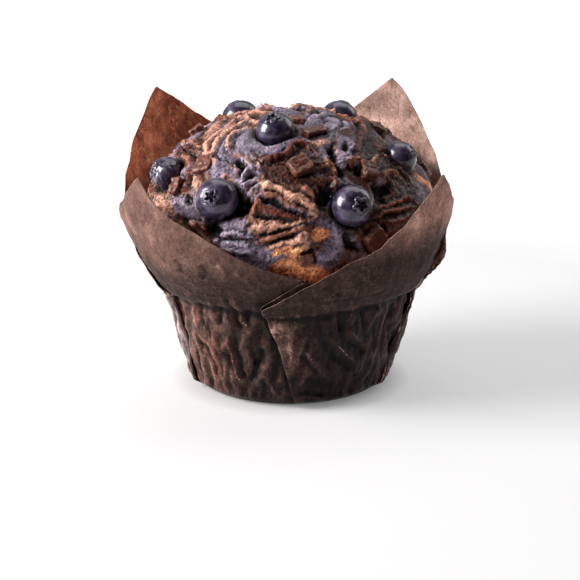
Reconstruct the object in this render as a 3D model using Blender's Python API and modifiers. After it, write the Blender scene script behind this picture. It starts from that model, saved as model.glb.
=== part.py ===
"""Blueberry and chocolate muffin in a pressed paper tulip case.

Frame: metres, +Z up, origin at the centre of the flat base that it stands on,
front towards -Y. Azimuth runs from the front (0) towards +X (90).

The pieces are the paper case (one square sheet pressed into a cup, its four
corners standing up as leaves), the muffin baked in it, the berries sunk in its
crown and the chocolate chunks. Each is one closed solid.
"""

import math

import bmesh
import bpy
from mathutils import Matrix, Vector, noise

MM = 0.001

# ---- driving dimensions, millimetres and degrees -------------------------------------
PAPER = 0.5  # wall of the case solid
GAP = 0.35  # clearance between neighbouring solids
BASE_R = 25.6  # flat foot
WALL_R = 28.1  # cup wall at the floor, before the foot is rounded
WALL_SLOPE = 0.262  # growth of radius per millimetre of height
RIM_Z = 30.0  # where the baking tin ended and the paper flares
CROWN_C = 40.0  # height of the point from which crown directions are counted
TOP_Z = 79.0
COLUMNS = 54
PETAL_ROWS = 5  # rows of facets in the leaves
FOLD_STEP = 0.8  # height of a pleat's edge
FOLD_RUN = 24.0  # degrees over which a pleat lies down again

# radius of the flared sheet against height, for a leaf that leans out, a side that
# stays close, and the two back leaves
LEAN = [(30, 35.9), (31.2, 38.6), (33, 41), (36, 43), (39.5, 45.2), (44, 47.2), (48.5, 48.8), (52, 49.7), (58, 50.7), (67, 52.9), (86, 56)]
CLOSE = [(30, 35.9), (33, 38.2), (36, 40.5), (38.5, 41.9), (43.5, 43.8), (48.3, 45.4), (54, 46.3), (60, 46.5), (86, 47)]
SIDE = [(30, 35.9), (33, 38.3), (36, 40.4), (40, 42.9), (44, 45.0), (48.5, 47.3), (52, 49.0), (58, 50.7), (67, 52.9), (86, 56)]
BACK_LEFT = [(30, 35.9), (33, 38.6), (36, 41), (40, 43.3), (45, 45.2), (52, 47), (57.5, 48.3), (66, 50.2), (82, 52.7), (86, 53.4)]
BACK_RIGHT = [(30, 35.9), (33, 38.2), (36, 40.5), (40, 42.6), (45, 44.2), (52, 45), (60, 45.5), (86, 45.1)]
FLARES = [(-180, BACK_RIGHT), (-129, BACK_LEFT), (-92, SIDE), (-50, LEAN), (2, CLOSE), (50, LEAN), (88, CLOSE), (136, BACK_RIGHT), (180, BACK_RIGHT)]

# the sheet's cut edge: four corners, straight sides between them, low where the pleats are
EDGE = [
    (-180, 54), (-153, 68), (-137, 77.5), (-129, 82), (-122, 75), (-113, 66), (-105, 59.5), (-98, 56), (-90, 48),
    (-80, 51.5), (-64, 59), (-56, 64), (-50, 67), (-46, 61.5), (-39, 56.6), (-29, 53), (-18, 47.7), (-9, 44.5),
    (5, 41), (14, 43.6), (25, 47.6), (33, 53), (41, 58.5), (46, 63), (50, 68), (56, 64.5), (63, 60), (72, 56.5),
    (84, 48), (92, 48), (104, 57.6), (112, 65), (121, 72.5), (126, 78), (131, 82), (136, 84.5), (142, 81),
    (155, 74), (168, 64), (180, 54),
]
# pleats: azimuth of the folded edge at the floor and at the rim, and which way it lies
FOLDS = [(4, -11, 1), (84, 80, 1), (-66, -62, -1), (-172, -176, 1)]

# muffin crown: radius against height
CROWN = [
    (35.3, 30.5), (36.2, 33), (38.2, 36), (39.5, 39), (40.8, 43), (41.5, 48), (41.6, 53), (40.5, 58), (37.9, 62.3),
    (34.2, 66.5), (29.6, 70.4), (24.0, 73.9), (17.4, 76.6), (9, 78.4), (0, TOP_Z),
]

# berries: azimuth, angle from straight up, how far the centre stands off the crown, radius,
# and the azimuth and elevation that the calyx faces
BERRIES = {
    "berry_front_right": (24, 64, 1.4, 5.6, 26, 14),
    "berry_front_left": (-29, 62, 1.4, 5.7, -17, 19),
    "berry_top_front": (-13, 26, 0.3, 5.3, -20, 58),
    "berry_top_back_left": (-143, 36, 0.3, 5.8, -140, 55),
    "berry_top_back_right": (143, 36, 0.3, 5.7, 150, 60),
    "berry_right": (67, 50, 0.9, 4.8, 82, 30),
    "berry_left": (-68, 57, 0.5, 5.1, -75, 12),
    "berry_back": (178, 62, 0.8, 5.5, 170, 25),
    "berry_back_left": (-128, 60, 0.6, 5.2, -130, 30),
    "berry_back_right": (128, 58, 0.5, 5.4, 124, 24),
    "berry_back_low": (-149, 70, -0.8, 4.8, -150, 12),
}
BERRY_SEGMENTS, BERRY_RINGS = 15, 7

# chocolate chunks: azimuth, angle from straight up, how far the centre stands off the crown,
# the two sides and the thickness, and the turn about the crown's normal
CHUNKS = {
    "chunk_front": (5, 47, 0.3, 6.2, 5.4, 3.6, 28),
    "chunk_top_bar": (21, 28, 0.2, 6.8, 3.0, 3.0, 12),
    "chunk_right": (39, 51, 0.2, 4.4, 5.2, 3.4, -12),
    "chunk_low_right": (33, 76, 0.1, 6.4, 6.2, 4.2, 35),
    "chunk_right_top": (86, 36, 0.4, 5.6, 5.0, 3.8, 15),
    "chunk_left": (-46, 49, -0.1, 5.6, 6.4, 3.2, 22),
    "chunk_far_left": (-54, 60, 0.2, 3.6, 5.0, 3.0, 20),
    "chunk_left_top": (-94, 39, 0.5, 4.8, 4.6, 3.8, 10),
    "chunk_low_front": (6, 81, 0.0, 4.0, 3.4, 2.8, 8),
    "chunk_top_small": (11, 15, 0.0, 4.4, 3.0, 2.6, -25),
    "chunk_back_top": (168, 22, 0.3, 5.4, 4.8, 3.4, 40),
    "chunk_back_left": (-166, 42, 0.3, 5.6, 5.0, 3.4, -20),
    "chunk_back_right": (152, 56, 0.3, 6.0, 5.0, 3.6, 15),
    "chunk_back_side": (92, 60, 0.2, 5.0, 4.6, 3.4, -35),
    "chunk_back_low": (166, 80, 0.1, 5.2, 4.6, 3.4, 25),
}


# ---- helpers -------------------------------------------------------------------------
def smooth(t):
    t = min(1.0, max(0.0, t))
    return t * t * (3 - 2 * t)


def along(keys, x):
    """Linear interpolation in a short table of (place, value)."""
    for (x0, y0), (x1, y1) in zip(keys, keys[1:]):
        if x <= x1:
            return y0 + (y1 - y0) * (x - x0) / (x1 - x0)
    return keys[-1][1]


def wrap(a):
    return (a + 180.0) % 360.0 - 180.0


def polar_point(azimuth, radius, z):
    a = math.radians(azimuth)
    return Vector((radius * math.sin(a), -radius * math.cos(a), z)) * MM


def direction(azimuth, elevation):
    a, e = math.radians(azimuth), math.radians(elevation)
    return Vector((math.sin(a) * math.cos(e), -math.cos(a) * math.cos(e), math.sin(e)))


def flare_radius(z, azimuth):
    for (a0, f0), (a1, f1) in zip(FLARES, FLARES[1:]):
        if azimuth <= a1:
            t = smooth((azimuth - a0) / (a1 - a0))
            return along(f0, z) * (1 - t) + along(f1, z) * t
    return along(FLARES[-1][1], z)


def case_radius(z, azimuth):
    """Outside of the paper, without its pleats."""
    if z < RIM_Z:
        return WALL_R + WALL_SLOPE * z
    return flare_radius(z, azimuth)


def fold_line(fold, z):
    low, rim, _ = fold
    return low + (rim - low) * min(z, 36.0) / RIM_Z


def fold_rise(z, azimuth):
    """How far a pleat lifts the sheet: a sharp step at its folded edge, then lying down again."""
    rise = 0.0
    for fold in FOLDS:
        d = wrap(azimuth - fold_line(fold, z)) * fold[2]
        if 0.0 < d < FOLD_RUN:
            rise = max(rise, 1.0 - smooth(d / FOLD_RUN))
    return FOLD_STEP * rise * smooth((z - 2.0) / 8.0)


def crown_radius(z):
    return along([(zz, r) for r, zz in CROWN], z)


def crown_point(azimuth, polar, off=0.0):
    """Point of the crown in a direction from its centre, moved off along its normal, and the normal."""
    a = math.radians(polar)
    far = 60.0
    line = [(far * k / 400 * math.sin(a), CROWN_C + far * k / 400 * math.cos(a)) for k in range(401)]
    best = (0.0, CROWN_C)
    for r, z in line:
        if z >= TOP_Z or r > crown_radius(z):
            break
        best = (r, z)
    r, z = best
    dz = 0.6
    dr = crown_radius(min(z + dz, TOP_Z)) - crown_radius(z - dz)
    n = Vector((2 * dz, -dr)).normalized()
    return polar_point(azimuth, r + off * n.x, z + off * n.y), direction(azimuth, math.degrees(math.atan2(n.y, n.x)))


def crown_relief(azimuth, z, radius):
    """Folds of the stirred batter, as ridges that run round the crown in a loose spiral, and soft lumps."""
    polar = math.atan2(radius, z - CROWN_C)
    a = math.radians(azimuth)
    phase = 2 * a + 6.5 * polar + 0.9 * math.sin(3 * a) + 0.6 * math.sin(5 * polar + a)
    ridge = 1.0 - abs(math.sin(phase))
    p = polar_point(azimuth, radius, z) / MM
    lump = noise.noise(p * 0.085) * 1.1 + noise.noise(p * 0.2 + Vector((7.0, 3.0, 1.0))) * 0.45
    fade = smooth((z - 33.0) / 8.0)
    return fade * (0.75 * ridge * ridge - 0.35 + lump * 0.8)


def material(name, colour, roughness, metallic=0.0):
    m = bpy.data.materials.new(name)
    m.use_nodes = True
    shader = m.node_tree.nodes["Principled BSDF"]
    shader.inputs["Base Color"].default_value = (*colour, 1.0)
    shader.inputs["Roughness"].default_value = roughness
    shader.inputs["Metallic"].default_value = metallic
    m.diffuse_color = (*colour, 1.0)
    return m


def new_object(name, bm, collection, mat=None):
    mesh = bpy.data.meshes.new(name)
    bm.to_mesh(mesh)
    bm.free()
    obj = bpy.data.objects.new(name, mesh)
    collection.objects.link(obj)
    if mat:
        mesh.materials.append(mat)
    return obj


def loft(rings, close_low, close_high, bm=None):
    """Skin of quads between closed rings of equally many points, with a fan to a point at either end."""
    bm = bm or bmesh.new()
    rows = [[bm.verts.new(p) for p in ring] for ring in rings]
    for low, high in zip(rows, rows[1:]):
        for i in range(len(low)):
            j = (i + 1) % len(low)
            bm.faces.new((low[i], low[j], high[j], high[i]))
    if close_low is not None:
        tip = bm.verts.new(close_low)
        for i in range(len(rows[0])):
            bm.faces.new((tip, rows[0][(i + 1) % len(rows[0])], rows[0][i]))
    if close_high is not None:
        tip = bm.verts.new(close_high)
        for i in range(len(rows[-1])):
            bm.faces.new((tip, rows[-1][i], rows[-1][(i + 1) % len(rows[-1])]))
    bm.normal_update()
    return bm


# ---- scene and collections -----------------------------------------------------------
for old in list(bpy.data.objects):
    bpy.data.objects.remove(old)
parts = bpy.data.collections.new("muffin_in_tulip_case")
cutters = bpy.data.collections.new("cutters")
bpy.context.scene.collection.children.link(parts)
bpy.context.scene.collection.children.link(cutters)

PAPER_MAT = material("brown_parchment", (0.115, 0.062, 0.046), 0.62)
CRUMB_MAT = material("swirled_crumb", (0.105, 0.060, 0.052), 0.5)
BERRY_MAT = material("berry_skin", (0.045, 0.042, 0.085), 0.35)
CHOC_MAT = material("chocolate", (0.125, 0.045, 0.026), 0.38)


# ---- paper case ----------------------------------------------------------------------
def column_azimuths():
    """Azimuths of the columns at the rim, with one at each leaf's tip and two at each folded edge."""
    columns = [(-180.0 + 360.0 * i / COLUMNS, None) for i in range(COLUMNS)]
    for tip in (-129, -50, 50, 136):
        i = min(range(COLUMNS), key=lambda k: abs(columns[k][0] - tip))
        columns[i] = (float(tip), None)
    for f, (_, rim, side) in enumerate(FOLDS):
        columns = [c for c in columns if abs(wrap(c[0] - rim)) > 2.4]
        columns += [(rim - 1.1, f), (rim + 1.1, f)]
    return sorted(columns, key=lambda c: wrap(c[0]))


def column_at(column, z):
    """Columns lean with the folded edges near them."""
    a, _ = column
    for fold in FOLDS:
        d = wrap(a - fold[1])
        weight = 1.0 - smooth((abs(d) - 2.0) / 14.0)
        a += weight * (fold_line(fold, z) - fold[1])
    return a


def case_bmesh():
    columns = column_azimuths()
    rings = [[polar_point(column_at(c, 0.0), BASE_R, 0.0) for c in columns]]
    rings.append([polar_point(column_at(c, 0.8), WALL_R - 0.9, 0.8) for c in columns])
    for z in (2.6, 14.0, 29.6, 31.5, 33.5, 36.0):
        ring = []
        for c in columns:
            a = column_at(c, z)
            ring.append(polar_point(a, case_radius(z, wrap(a)) + fold_rise(z, a), z))
        rings.append(ring)
    for k in range(1, PETAL_ROWS + 1):
        ring = []
        for c in columns:
            a = column_at(c, 36.0)
            top = along(EDGE, wrap(a))
            z = 36.0 + (top - 36.0) * k / PETAL_ROWS
            ring.append(polar_point(a, case_radius(z, wrap(a)) + fold_rise(z, a), z))
        rings.append(ring)
    return loft(rings, Vector((0, 0, 0)), None)


case = new_object("paper_case", case_bmesh(), parts, PAPER_MAT)
wall = case.modifiers.new("paper", "SOLIDIFY")
wall.thickness = PAPER * MM
wall.offset = -1.0

# ---- muffin --------------------------------------------------------------------------
def muffin_bmesh():
    inset = PAPER + GAP
    azimuths = [-180.0 + 360.0 * i / COLUMNS for i in range(COLUMNS)]
    rings = []
    for z, cut in ((inset, 3.2), (inset + 1.2, 0.9), (3.4, 0.0), (16.0, 0.0), (29.4, 0.0)):
        rings.append([polar_point(a, case_radius(z, a) - inset - cut, z) for a in azimuths])
    levels = [31.0, 33.5, 37.0, 41.0, 45.0, 48.5, 52.0, 55.5, 59.0, 62.5, 65.5, 68.3, 70.8, 73.0, 75.0, 76.7, 78.2]
    for z in levels:
        r = crown_radius(z)
        ring = []
        for a in azimuths:
            relief = crown_relief(a, z, r)
            slope = (crown_radius(min(z + 0.6, TOP_Z)) - crown_radius(z - 0.6)) / 1.2
            n = Vector((1.0, -slope)).normalized()
            rr = min(r + relief * n.x, case_radius(z, a) - inset) if z < 45 else r + relief * n.x
            ring.append(polar_point(a, rr, z + relief * n.y))
        rings.append(ring)
    return loft(rings, Vector((0, 0, inset * MM)), Vector((0, 0, (TOP_Z + 0.3) * MM)))


muffin = new_object("muffin", muffin_bmesh(), parts, CRUMB_MAT)


def socket(target, cutter):
    cutter.hide_render = True
    cutter.display_type = "WIRE"
    cut = target.modifiers.new("socket_" + cutter.name, "BOOLEAN")
    cut.operation = "DIFFERENCE"
    cut.solver = "EXACT"
    cut.object = cutter


# ---- berries: a ball with a sunken calyx inside a five-lobed crown -----------------------
def berry_bmesh(radius):
    bm = bmesh.new()
    bmesh.ops.create_uvsphere(bm, u_segments=BERRY_SEGMENTS, v_segments=BERRY_RINGS, radius=radius * MM)
    for v in bm.verts:
        d = v.co.normalized()
        from_top = math.degrees(math.acos(max(-1.0, min(1.0, d.z))))
        turn = math.atan2(d.y, d.x)
        if from_top < 5:
            v.co = d * radius * 0.84 * MM
        elif from_top < 30:
            v.co = d * radius * (0.97 + 0.035 * math.cos(5 * turn)) * MM
        v.co.z *= 0.93
    return bm


for name, (azimuth, polar, off, radius, face_az, face_el) in BERRIES.items():
    centre, _ = crown_point(azimuth, polar, off)
    berry = new_object(name, berry_bmesh(radius), parts, BERRY_MAT)
    berry.location = centre
    berry.rotation_mode = "QUATERNION"
    berry.rotation_quaternion = direction(face_az, face_el).to_track_quat("Z", "Y")
    berry.data.shade_smooth()
    bm = bmesh.new()
    bmesh.ops.create_uvsphere(bm, u_segments=11, v_segments=7, radius=(radius + GAP + 0.35) * MM)
    hole = new_object("cut_" + name, bm, cutters)
    hole.location = centre
    socket(muffin, hole)

# ---- chocolate chunks: bevelled blocks, half sunk -----------------------------------------
for name, (azimuth, polar, off, wide, deep, thick, turn) in CHUNKS.items():
    centre, normal = crown_point(azimuth, polar, off)
    aim = normal.to_track_quat("Z", "Y").to_matrix().to_4x4() @ Matrix.Rotation(math.radians(turn), 4, "Z")
    for grow, home in ((0.0, parts), (GAP, cutters)):
        bm = bmesh.new()
        bmesh.ops.create_cube(bm, size=1.0)
        size = Vector((wide, deep, thick)) * MM + Vector((2, 2, 2)) * grow * MM
        bmesh.ops.scale(bm, vec=size, verts=bm.verts)
        if home is parts:
            for v in bm.verts:  # broken chocolate isn't square: the top is a little smaller and skewed
                if v.co.z > 0:
                    v.co.x *= 0.88
                    v.co.y *= 0.9
            block = new_object(name, bm, parts, CHOC_MAT)
            edge = block.modifiers.new("worn_edges", "BEVEL")
            edge.width = 0.45 * MM
            edge.segments = 1
        else:
            block = new_object("cut_" + name, bm, cutters)
            socket(muffin, block)
        block.matrix_world = Matrix.Translation(centre) @ aim
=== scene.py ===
"""Looks of the muffin in its tulip case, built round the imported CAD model.

Lengths in the tables are millimetres, angles are degrees. Azimuth runs from the front (0)
towards +X (90). On the crown a place is given by its azimuth and its angle from straight up,
seen from a point 40 mm up the axis.
"""

import math

import bpy
import numpy as np
from mathutils import Matrix, Vector


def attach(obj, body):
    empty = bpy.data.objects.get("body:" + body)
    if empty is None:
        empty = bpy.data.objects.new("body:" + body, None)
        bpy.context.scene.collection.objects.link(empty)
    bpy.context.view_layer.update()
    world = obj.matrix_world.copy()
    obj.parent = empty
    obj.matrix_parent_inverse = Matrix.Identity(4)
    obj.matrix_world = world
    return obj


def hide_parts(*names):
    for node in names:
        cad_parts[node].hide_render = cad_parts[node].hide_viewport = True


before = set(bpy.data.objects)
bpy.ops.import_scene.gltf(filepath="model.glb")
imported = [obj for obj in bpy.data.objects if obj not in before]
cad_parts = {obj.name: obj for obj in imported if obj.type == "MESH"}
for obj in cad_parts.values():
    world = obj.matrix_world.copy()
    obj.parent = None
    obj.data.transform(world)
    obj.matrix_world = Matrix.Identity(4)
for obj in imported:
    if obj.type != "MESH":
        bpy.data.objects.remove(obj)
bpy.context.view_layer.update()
MM = 0.001
TAU = 2 * math.pi

# ---- the CAD's own sizes ---------------------------------------------------------------
CROWN_C = 40.0
TOP_Z = 79.0
RIM_Z = 30.0
WALL_R = 28.1
WALL_SLOPE = 0.262
CROWN = [
    (35.3, 30.5), (36.2, 33), (38.2, 36), (39.5, 39), (40.8, 43), (41.5, 48), (41.6, 53), (40.5, 58), (37.9, 62.3),
    (34.2, 66.5), (29.6, 70.4), (24.0, 73.9), (17.4, 76.6), (9, 78.4), (0, TOP_Z),
]
LEAN = [(30, 35.9), (31.2, 38.6), (33, 41), (36, 43), (39.5, 45.2), (44, 47.2), (48.5, 48.8), (52, 49.7), (58, 50.7), (67, 52.9), (86, 56)]
CLOSE = [(30, 35.9), (33, 38.2), (36, 40.5), (38.5, 41.9), (43.5, 43.8), (48.3, 45.4), (54, 46.3), (60, 46.5), (86, 47)]
SIDE = [(30, 35.9), (33, 38.3), (36, 40.4), (40, 42.9), (44, 45.0), (48.5, 47.3), (52, 49.0), (58, 50.7), (67, 52.9), (86, 56)]
BACK_LEFT = [(30, 35.9), (33, 38.6), (36, 41), (40, 43.3), (45, 45.2), (52, 47), (57.5, 48.3), (66, 50.2), (82, 52.7), (86, 53.4)]
BACK_RIGHT = [(30, 35.9), (33, 38.2), (36, 40.5), (40, 42.6), (45, 44.2), (52, 45), (60, 45.5), (86, 45.1)]
FLARES = [(-180, BACK_RIGHT), (-129, BACK_LEFT), (-92, SIDE), (-50, LEAN), (2, CLOSE), (50, LEAN), (88, CLOSE), (136, BACK_RIGHT), (180, BACK_RIGHT)]

# azimuth, angle from straight up, stand-off, radius, and the azimuth and elevation its calyx faces
BERRIES = {
    "berry_front_right": (24, 64, 1.4, 5.6, 26, 14),
    "berry_front_left": (-29, 62, 1.4, 5.7, -17, 19),
    "berry_top_front": (-13, 26, 0.3, 5.3, -20, 58),
    "berry_top_back_left": (-143, 36, 0.3, 5.8, -140, 55),
    "berry_top_back_right": (143, 36, 0.3, 5.7, 150, 60),
    "berry_right": (67, 50, 0.9, 4.8, 82, 30),
    "berry_left": (-68, 57, 0.5, 5.1, -75, 12),
    "berry_back": (178, 62, 0.8, 5.5, 170, 25),
    "berry_back_left": (-128, 60, 0.6, 5.2, -130, 30),
    "berry_back_right": (128, 58, 0.5, 5.4, 124, 24),
    "berry_back_low": (-149, 70, -0.8, 4.8, -150, 12),
}
# azimuth, angle from straight up, stand-off, two sides, thickness, turn about the crown's normal
CHUNKS = {
    "chunk_front": (5, 47, 0.3, 6.2, 5.4, 3.6, 28),
    "chunk_top_bar": (21, 28, 0.2, 6.8, 3.0, 3.0, 12),
    "chunk_right": (39, 51, 0.2, 4.4, 5.2, 3.4, -12),
    "chunk_low_right": (33, 76, 0.1, 6.4, 6.2, 4.2, 35),
    "chunk_right_top": (86, 36, 0.4, 5.6, 5.0, 3.8, 15),
    "chunk_left": (-46, 49, -0.1, 5.6, 6.4, 3.2, 22),
    "chunk_far_left": (-54, 60, 0.2, 3.6, 5.0, 3.0, 20),
    "chunk_left_top": (-94, 39, 0.5, 4.8, 4.6, 3.8, 10),
    "chunk_low_front": (6, 81, 0.0, 4.0, 3.4, 2.8, 8),
    "chunk_top_small": (11, 15, 0.0, 4.4, 3.0, 2.6, -25),
    "chunk_back_top": (168, 22, 0.3, 5.4, 4.8, 3.4, 40),
    "chunk_back_left": (-166, 42, 0.3, 5.6, 5.0, 3.4, -20),
    "chunk_back_right": (152, 56, 0.3, 6.0, 5.0, 3.6, 15),
    "chunk_back_side": (92, 60, 0.2, 5.0, 4.6, 3.4, -35),
    "chunk_back_low": (166, 80, 0.1, 5.2, 4.6, 3.4, 25),
}

# ---- noise -------------------------------------------------------------------------------
def _hash(x, y, z, seed):
    h = (x * 73856093) ^ (y * 19349663) ^ (z * 83492791) ^ (seed * 40503 + 977)
    h &= 0xFFFFFFFF
    h = ((h ^ (h >> 15)) * 0x2C1B3C6D) & 0xFFFFFFFF
    h = ((h ^ (h >> 12)) * 0x297A2D39) & 0xFFFFFFFF
    return h ^ (h >> 15)


def perlin(p, seed=0):
    """Smooth noise at points (n, 3), about -1 to 1."""
    cell = np.floor(p).astype(np.int64)
    f = p - cell
    u = f * f * f * (f * (f * 6 - 15) + 10)
    total = np.zeros(len(p))
    for dx in (0, 1):
        wx = u[:, 0] if dx else 1 - u[:, 0]
        for dy in (0, 1):
            wy = u[:, 1] if dy else 1 - u[:, 1]
            for dz in (0, 1):
                wz = u[:, 2] if dz else 1 - u[:, 2]
                h = _hash(cell[:, 0] + dx, cell[:, 1] + dy, cell[:, 2] + dz, seed)
                g = ((h & 1023) / 511.5 - 1) * (f[:, 0] - dx)
                g += (((h >> 10) & 1023) / 511.5 - 1) * (f[:, 1] - dy)
                g += (((h >> 20) & 1023) / 511.5 - 1) * (f[:, 2] - dz)
                total += wx * wy * wz * g
    return total * 1.5


def fbm(p, octaves, seed=0, gain=0.5):
    total, amp, norm = np.zeros(len(p)), 1.0, 0.0
    for k in range(octaves):
        total += amp * perlin(p * 2.03 ** k + 17.3 * k, seed + k)
        norm += amp
        amp *= gain
    return total / norm


def vector_noise(p, seed=0):
    return np.stack([perlin(p, seed), perlin(p + 31.7, seed + 1), perlin(p - 47.1, seed + 2)], 1)


def cells(p, seed=0):
    """Distances to the nearest and second nearest of scattered points, one in each unit cell."""
    base = np.floor(p).astype(np.int64)
    f1 = np.full(len(p), 9.0)
    f2 = np.full(len(p), 9.0)
    for dx in (-1, 0, 1):
        for dy in (-1, 0, 1):
            for dz in (-1, 0, 1):
                c = base + np.array([dx, dy, dz])
                h = _hash(c[:, 0], c[:, 1], c[:, 2], seed)
                q = c + np.stack([(h & 1023) / 1023, ((h >> 10) & 1023) / 1023, ((h >> 20) & 1023) / 1023], 1)
                d = np.linalg.norm(p - q, axis=1)
                f2 = np.where(d < f1, f1, np.minimum(f2, d))
                f1 = np.minimum(f1, d)
    return f1, f2


def step(lo, hi, x):
    t = np.clip((x - lo) / (hi - lo), 0, 1)
    return t * t * (3 - 2 * t)


def srgb(r, g, b):
    """Linear colour from an 8-bit display colour."""
    return np.array([(c / 12.92) if c <= 0.04045 else ((c + 0.055) / 1.055) ** 2.4 for c in (r / 255, g / 255, b / 255)])


# ---- shapes shared with the CAD ------------------------------------------------------------
def table_at(keys, x):
    return np.interp(x, [k[0] for k in keys], [k[1] for k in keys])


def wrap(a):
    return (np.asarray(a) + 180.0) % 360.0 - 180.0


def case_radius(z, az):
    """Outside radius of the paper at a height and azimuth, without pleats."""
    az = wrap(az)
    flare = np.zeros(np.broadcast(z, az).shape)
    for (a0, f0), (a1, f1) in zip(FLARES, FLARES[1:]):
        t = step(a0, a1, az)
        here = (az >= a0) & (az <= a1)
        flare = np.where(here, table_at(f0, z) * (1 - t) + table_at(f1, z) * t, flare)
    wall = WALL_R + WALL_SLOPE * z
    return np.where(z < RIM_Z, wall, flare)


def at(az, radius, z):
    a = np.radians(az)
    return np.stack([radius * np.sin(a), -radius * np.cos(a), np.broadcast_to(z, np.shape(a))], -1)


def direction(az, el):
    a, e = math.radians(az), math.radians(el)
    return Vector((math.sin(a) * math.cos(e), -math.cos(a) * math.cos(e), math.sin(e)))


def crown_radius(z):
    return np.interp(z, [k[1] for k in CROWN], [k[0] for k in CROWN])


def crown_point(az, polar, off=0.0):
    """Point on the crown in a direction from its centre, and the crown's normal there, as the CAD has it."""
    a = math.radians(polar)
    best = (0.0, CROWN_C)
    for k in range(401):
        r, z = 60.0 * k / 400 * math.sin(a), CROWN_C + 60.0 * k / 400 * math.cos(a)
        if z >= TOP_Z or r > crown_radius(z):
            break
        best = (r, z)
    r, z = best
    dr = crown_radius(min(z + 0.6, TOP_Z)) - crown_radius(z - 0.6)
    n = Vector((1.2, -dr)).normalized()
    return at(az, r + off * n.x, z + off * n.y), direction(az, math.degrees(math.atan2(n.y, n.x)))


# ---- mesh helpers --------------------------------------------------------------------------
def make_piece(name, verts, quads, tris=(), attributes=None, colours=None, smooth=True):
    """A mesh object from points in millimetres."""
    mesh = bpy.data.meshes.new(name)
    quads = np.asarray(quads, dtype=np.int32).reshape(-1, 4)
    tris = np.asarray(tris, dtype=np.int32).reshape(-1, 3)
    loops = np.concatenate([quads.ravel(), tris.ravel()])
    starts = np.concatenate([np.arange(len(quads)) * 4, len(quads) * 4 + np.arange(len(tris)) * 3])
    totals = np.concatenate([np.full(len(quads), 4), np.full(len(tris), 3)])
    mesh.vertices.add(len(verts))
    mesh.vertices.foreach_set("co", (np.asarray(verts, dtype=np.float64) * MM).astype(np.float32).ravel())
    mesh.loops.add(len(loops))
    mesh.loops.foreach_set("vertex_index", loops.astype(np.int32))
    mesh.polygons.add(len(starts))
    mesh.polygons.foreach_set("loop_start", starts.astype(np.int32))
    mesh.polygons.foreach_set("loop_total", totals.astype(np.int32))
    mesh.update(calc_edges=True)
    mesh.validate()
    for key, values in (attributes or {}).items():
        layer = mesh.attributes.new(key, "FLOAT", "POINT")
        layer.data.foreach_set("value", np.asarray(values, dtype=np.float32))
    for key, values in (colours or {}).items():
        layer = mesh.attributes.new(key, "FLOAT_COLOR", "POINT")
        rgba = np.concatenate([values, np.ones((len(values), 1))], 1)
        layer.data.foreach_set("color", rgba.astype(np.float32).ravel())
    if smooth:
        mesh.shade_smooth()
    obj = bpy.data.objects.new(name, mesh)
    bpy.context.scene.collection.objects.link(obj)
    return obj


def grid_quads(rows, cols, closed=False, offset=0):
    """Quads of a grid whose points run along the columns first."""
    r = np.arange(rows - 1)[:, None]
    c = np.arange(cols if closed else cols - 1)[None, :]
    n = (c + 1) % cols
    return (np.stack([r * cols + c, r * cols + n, (r + 1) * cols + n, (r + 1) * cols + c], -1) + offset).reshape(-1, 4)


def catmull(keys, n):
    """A smooth curve through a few points, as n points evenly spaced along it."""
    k = np.asarray(keys, dtype=float)
    k = np.vstack([2 * k[0] - k[1], k, 2 * k[-1] - k[-2]])
    out = []
    for i in range(1, len(k) - 2):
        t = np.linspace(0, 1, 24, endpoint=False)[:, None]
        a, b, c, d = k[i - 1], k[i], k[i + 1], k[i + 2]
        out.append(0.5 * (2 * b + (c - a) * t + (2 * a - 5 * b + 4 * c - d) * t ** 2 + (3 * b - a - 3 * c + d) * t ** 3))
    out.append(k[-2][None, :])
    curve = np.vstack(out)
    run = np.concatenate([[0], np.cumsum(np.linalg.norm(np.diff(curve, axis=0), axis=1))])
    s = np.linspace(0, run[-1], n)
    return np.stack([np.interp(s, run, curve[:, j]) for j in range(curve.shape[1])], 1), run[-1]


def near_path(p, path, reach):
    """For the points within reach of a path: their indices, distance, side of the path and place along it (0 to 1)."""
    centre = path.mean(0)
    ball = np.linalg.norm(path - centre, axis=1).max() + reach
    idx = np.nonzero(((p - centre) ** 2).sum(1) < ball * ball)[0]
    q = p[idx]
    best = np.full(len(q), 1e9)
    side = np.zeros(len(q))
    place = np.zeros(len(q))
    n = len(path) - 1
    for k in range(n):
        a, b = path[k], path[k + 1]
        ab = b - a
        t = np.clip(((q - a) @ ab) / max(ab @ ab, 1e-9), 0, 1)
        d = q - (a + t[:, None] * ab)
        dist = np.linalg.norm(d, axis=1)
        closer = dist < best
        out = (a + b) / 2 - np.array([0, 0, CROWN_C])
        across = np.cross(out, ab)
        across /= max(np.linalg.norm(across), 1e-9)
        best = np.where(closer, dist, best)
        side = np.where(closer, d @ across, side)
        place = np.where(closer, (k + t) / n, place)
    keep = best < reach
    return idx[keep], best[keep], side[keep], place[keep]


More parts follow.
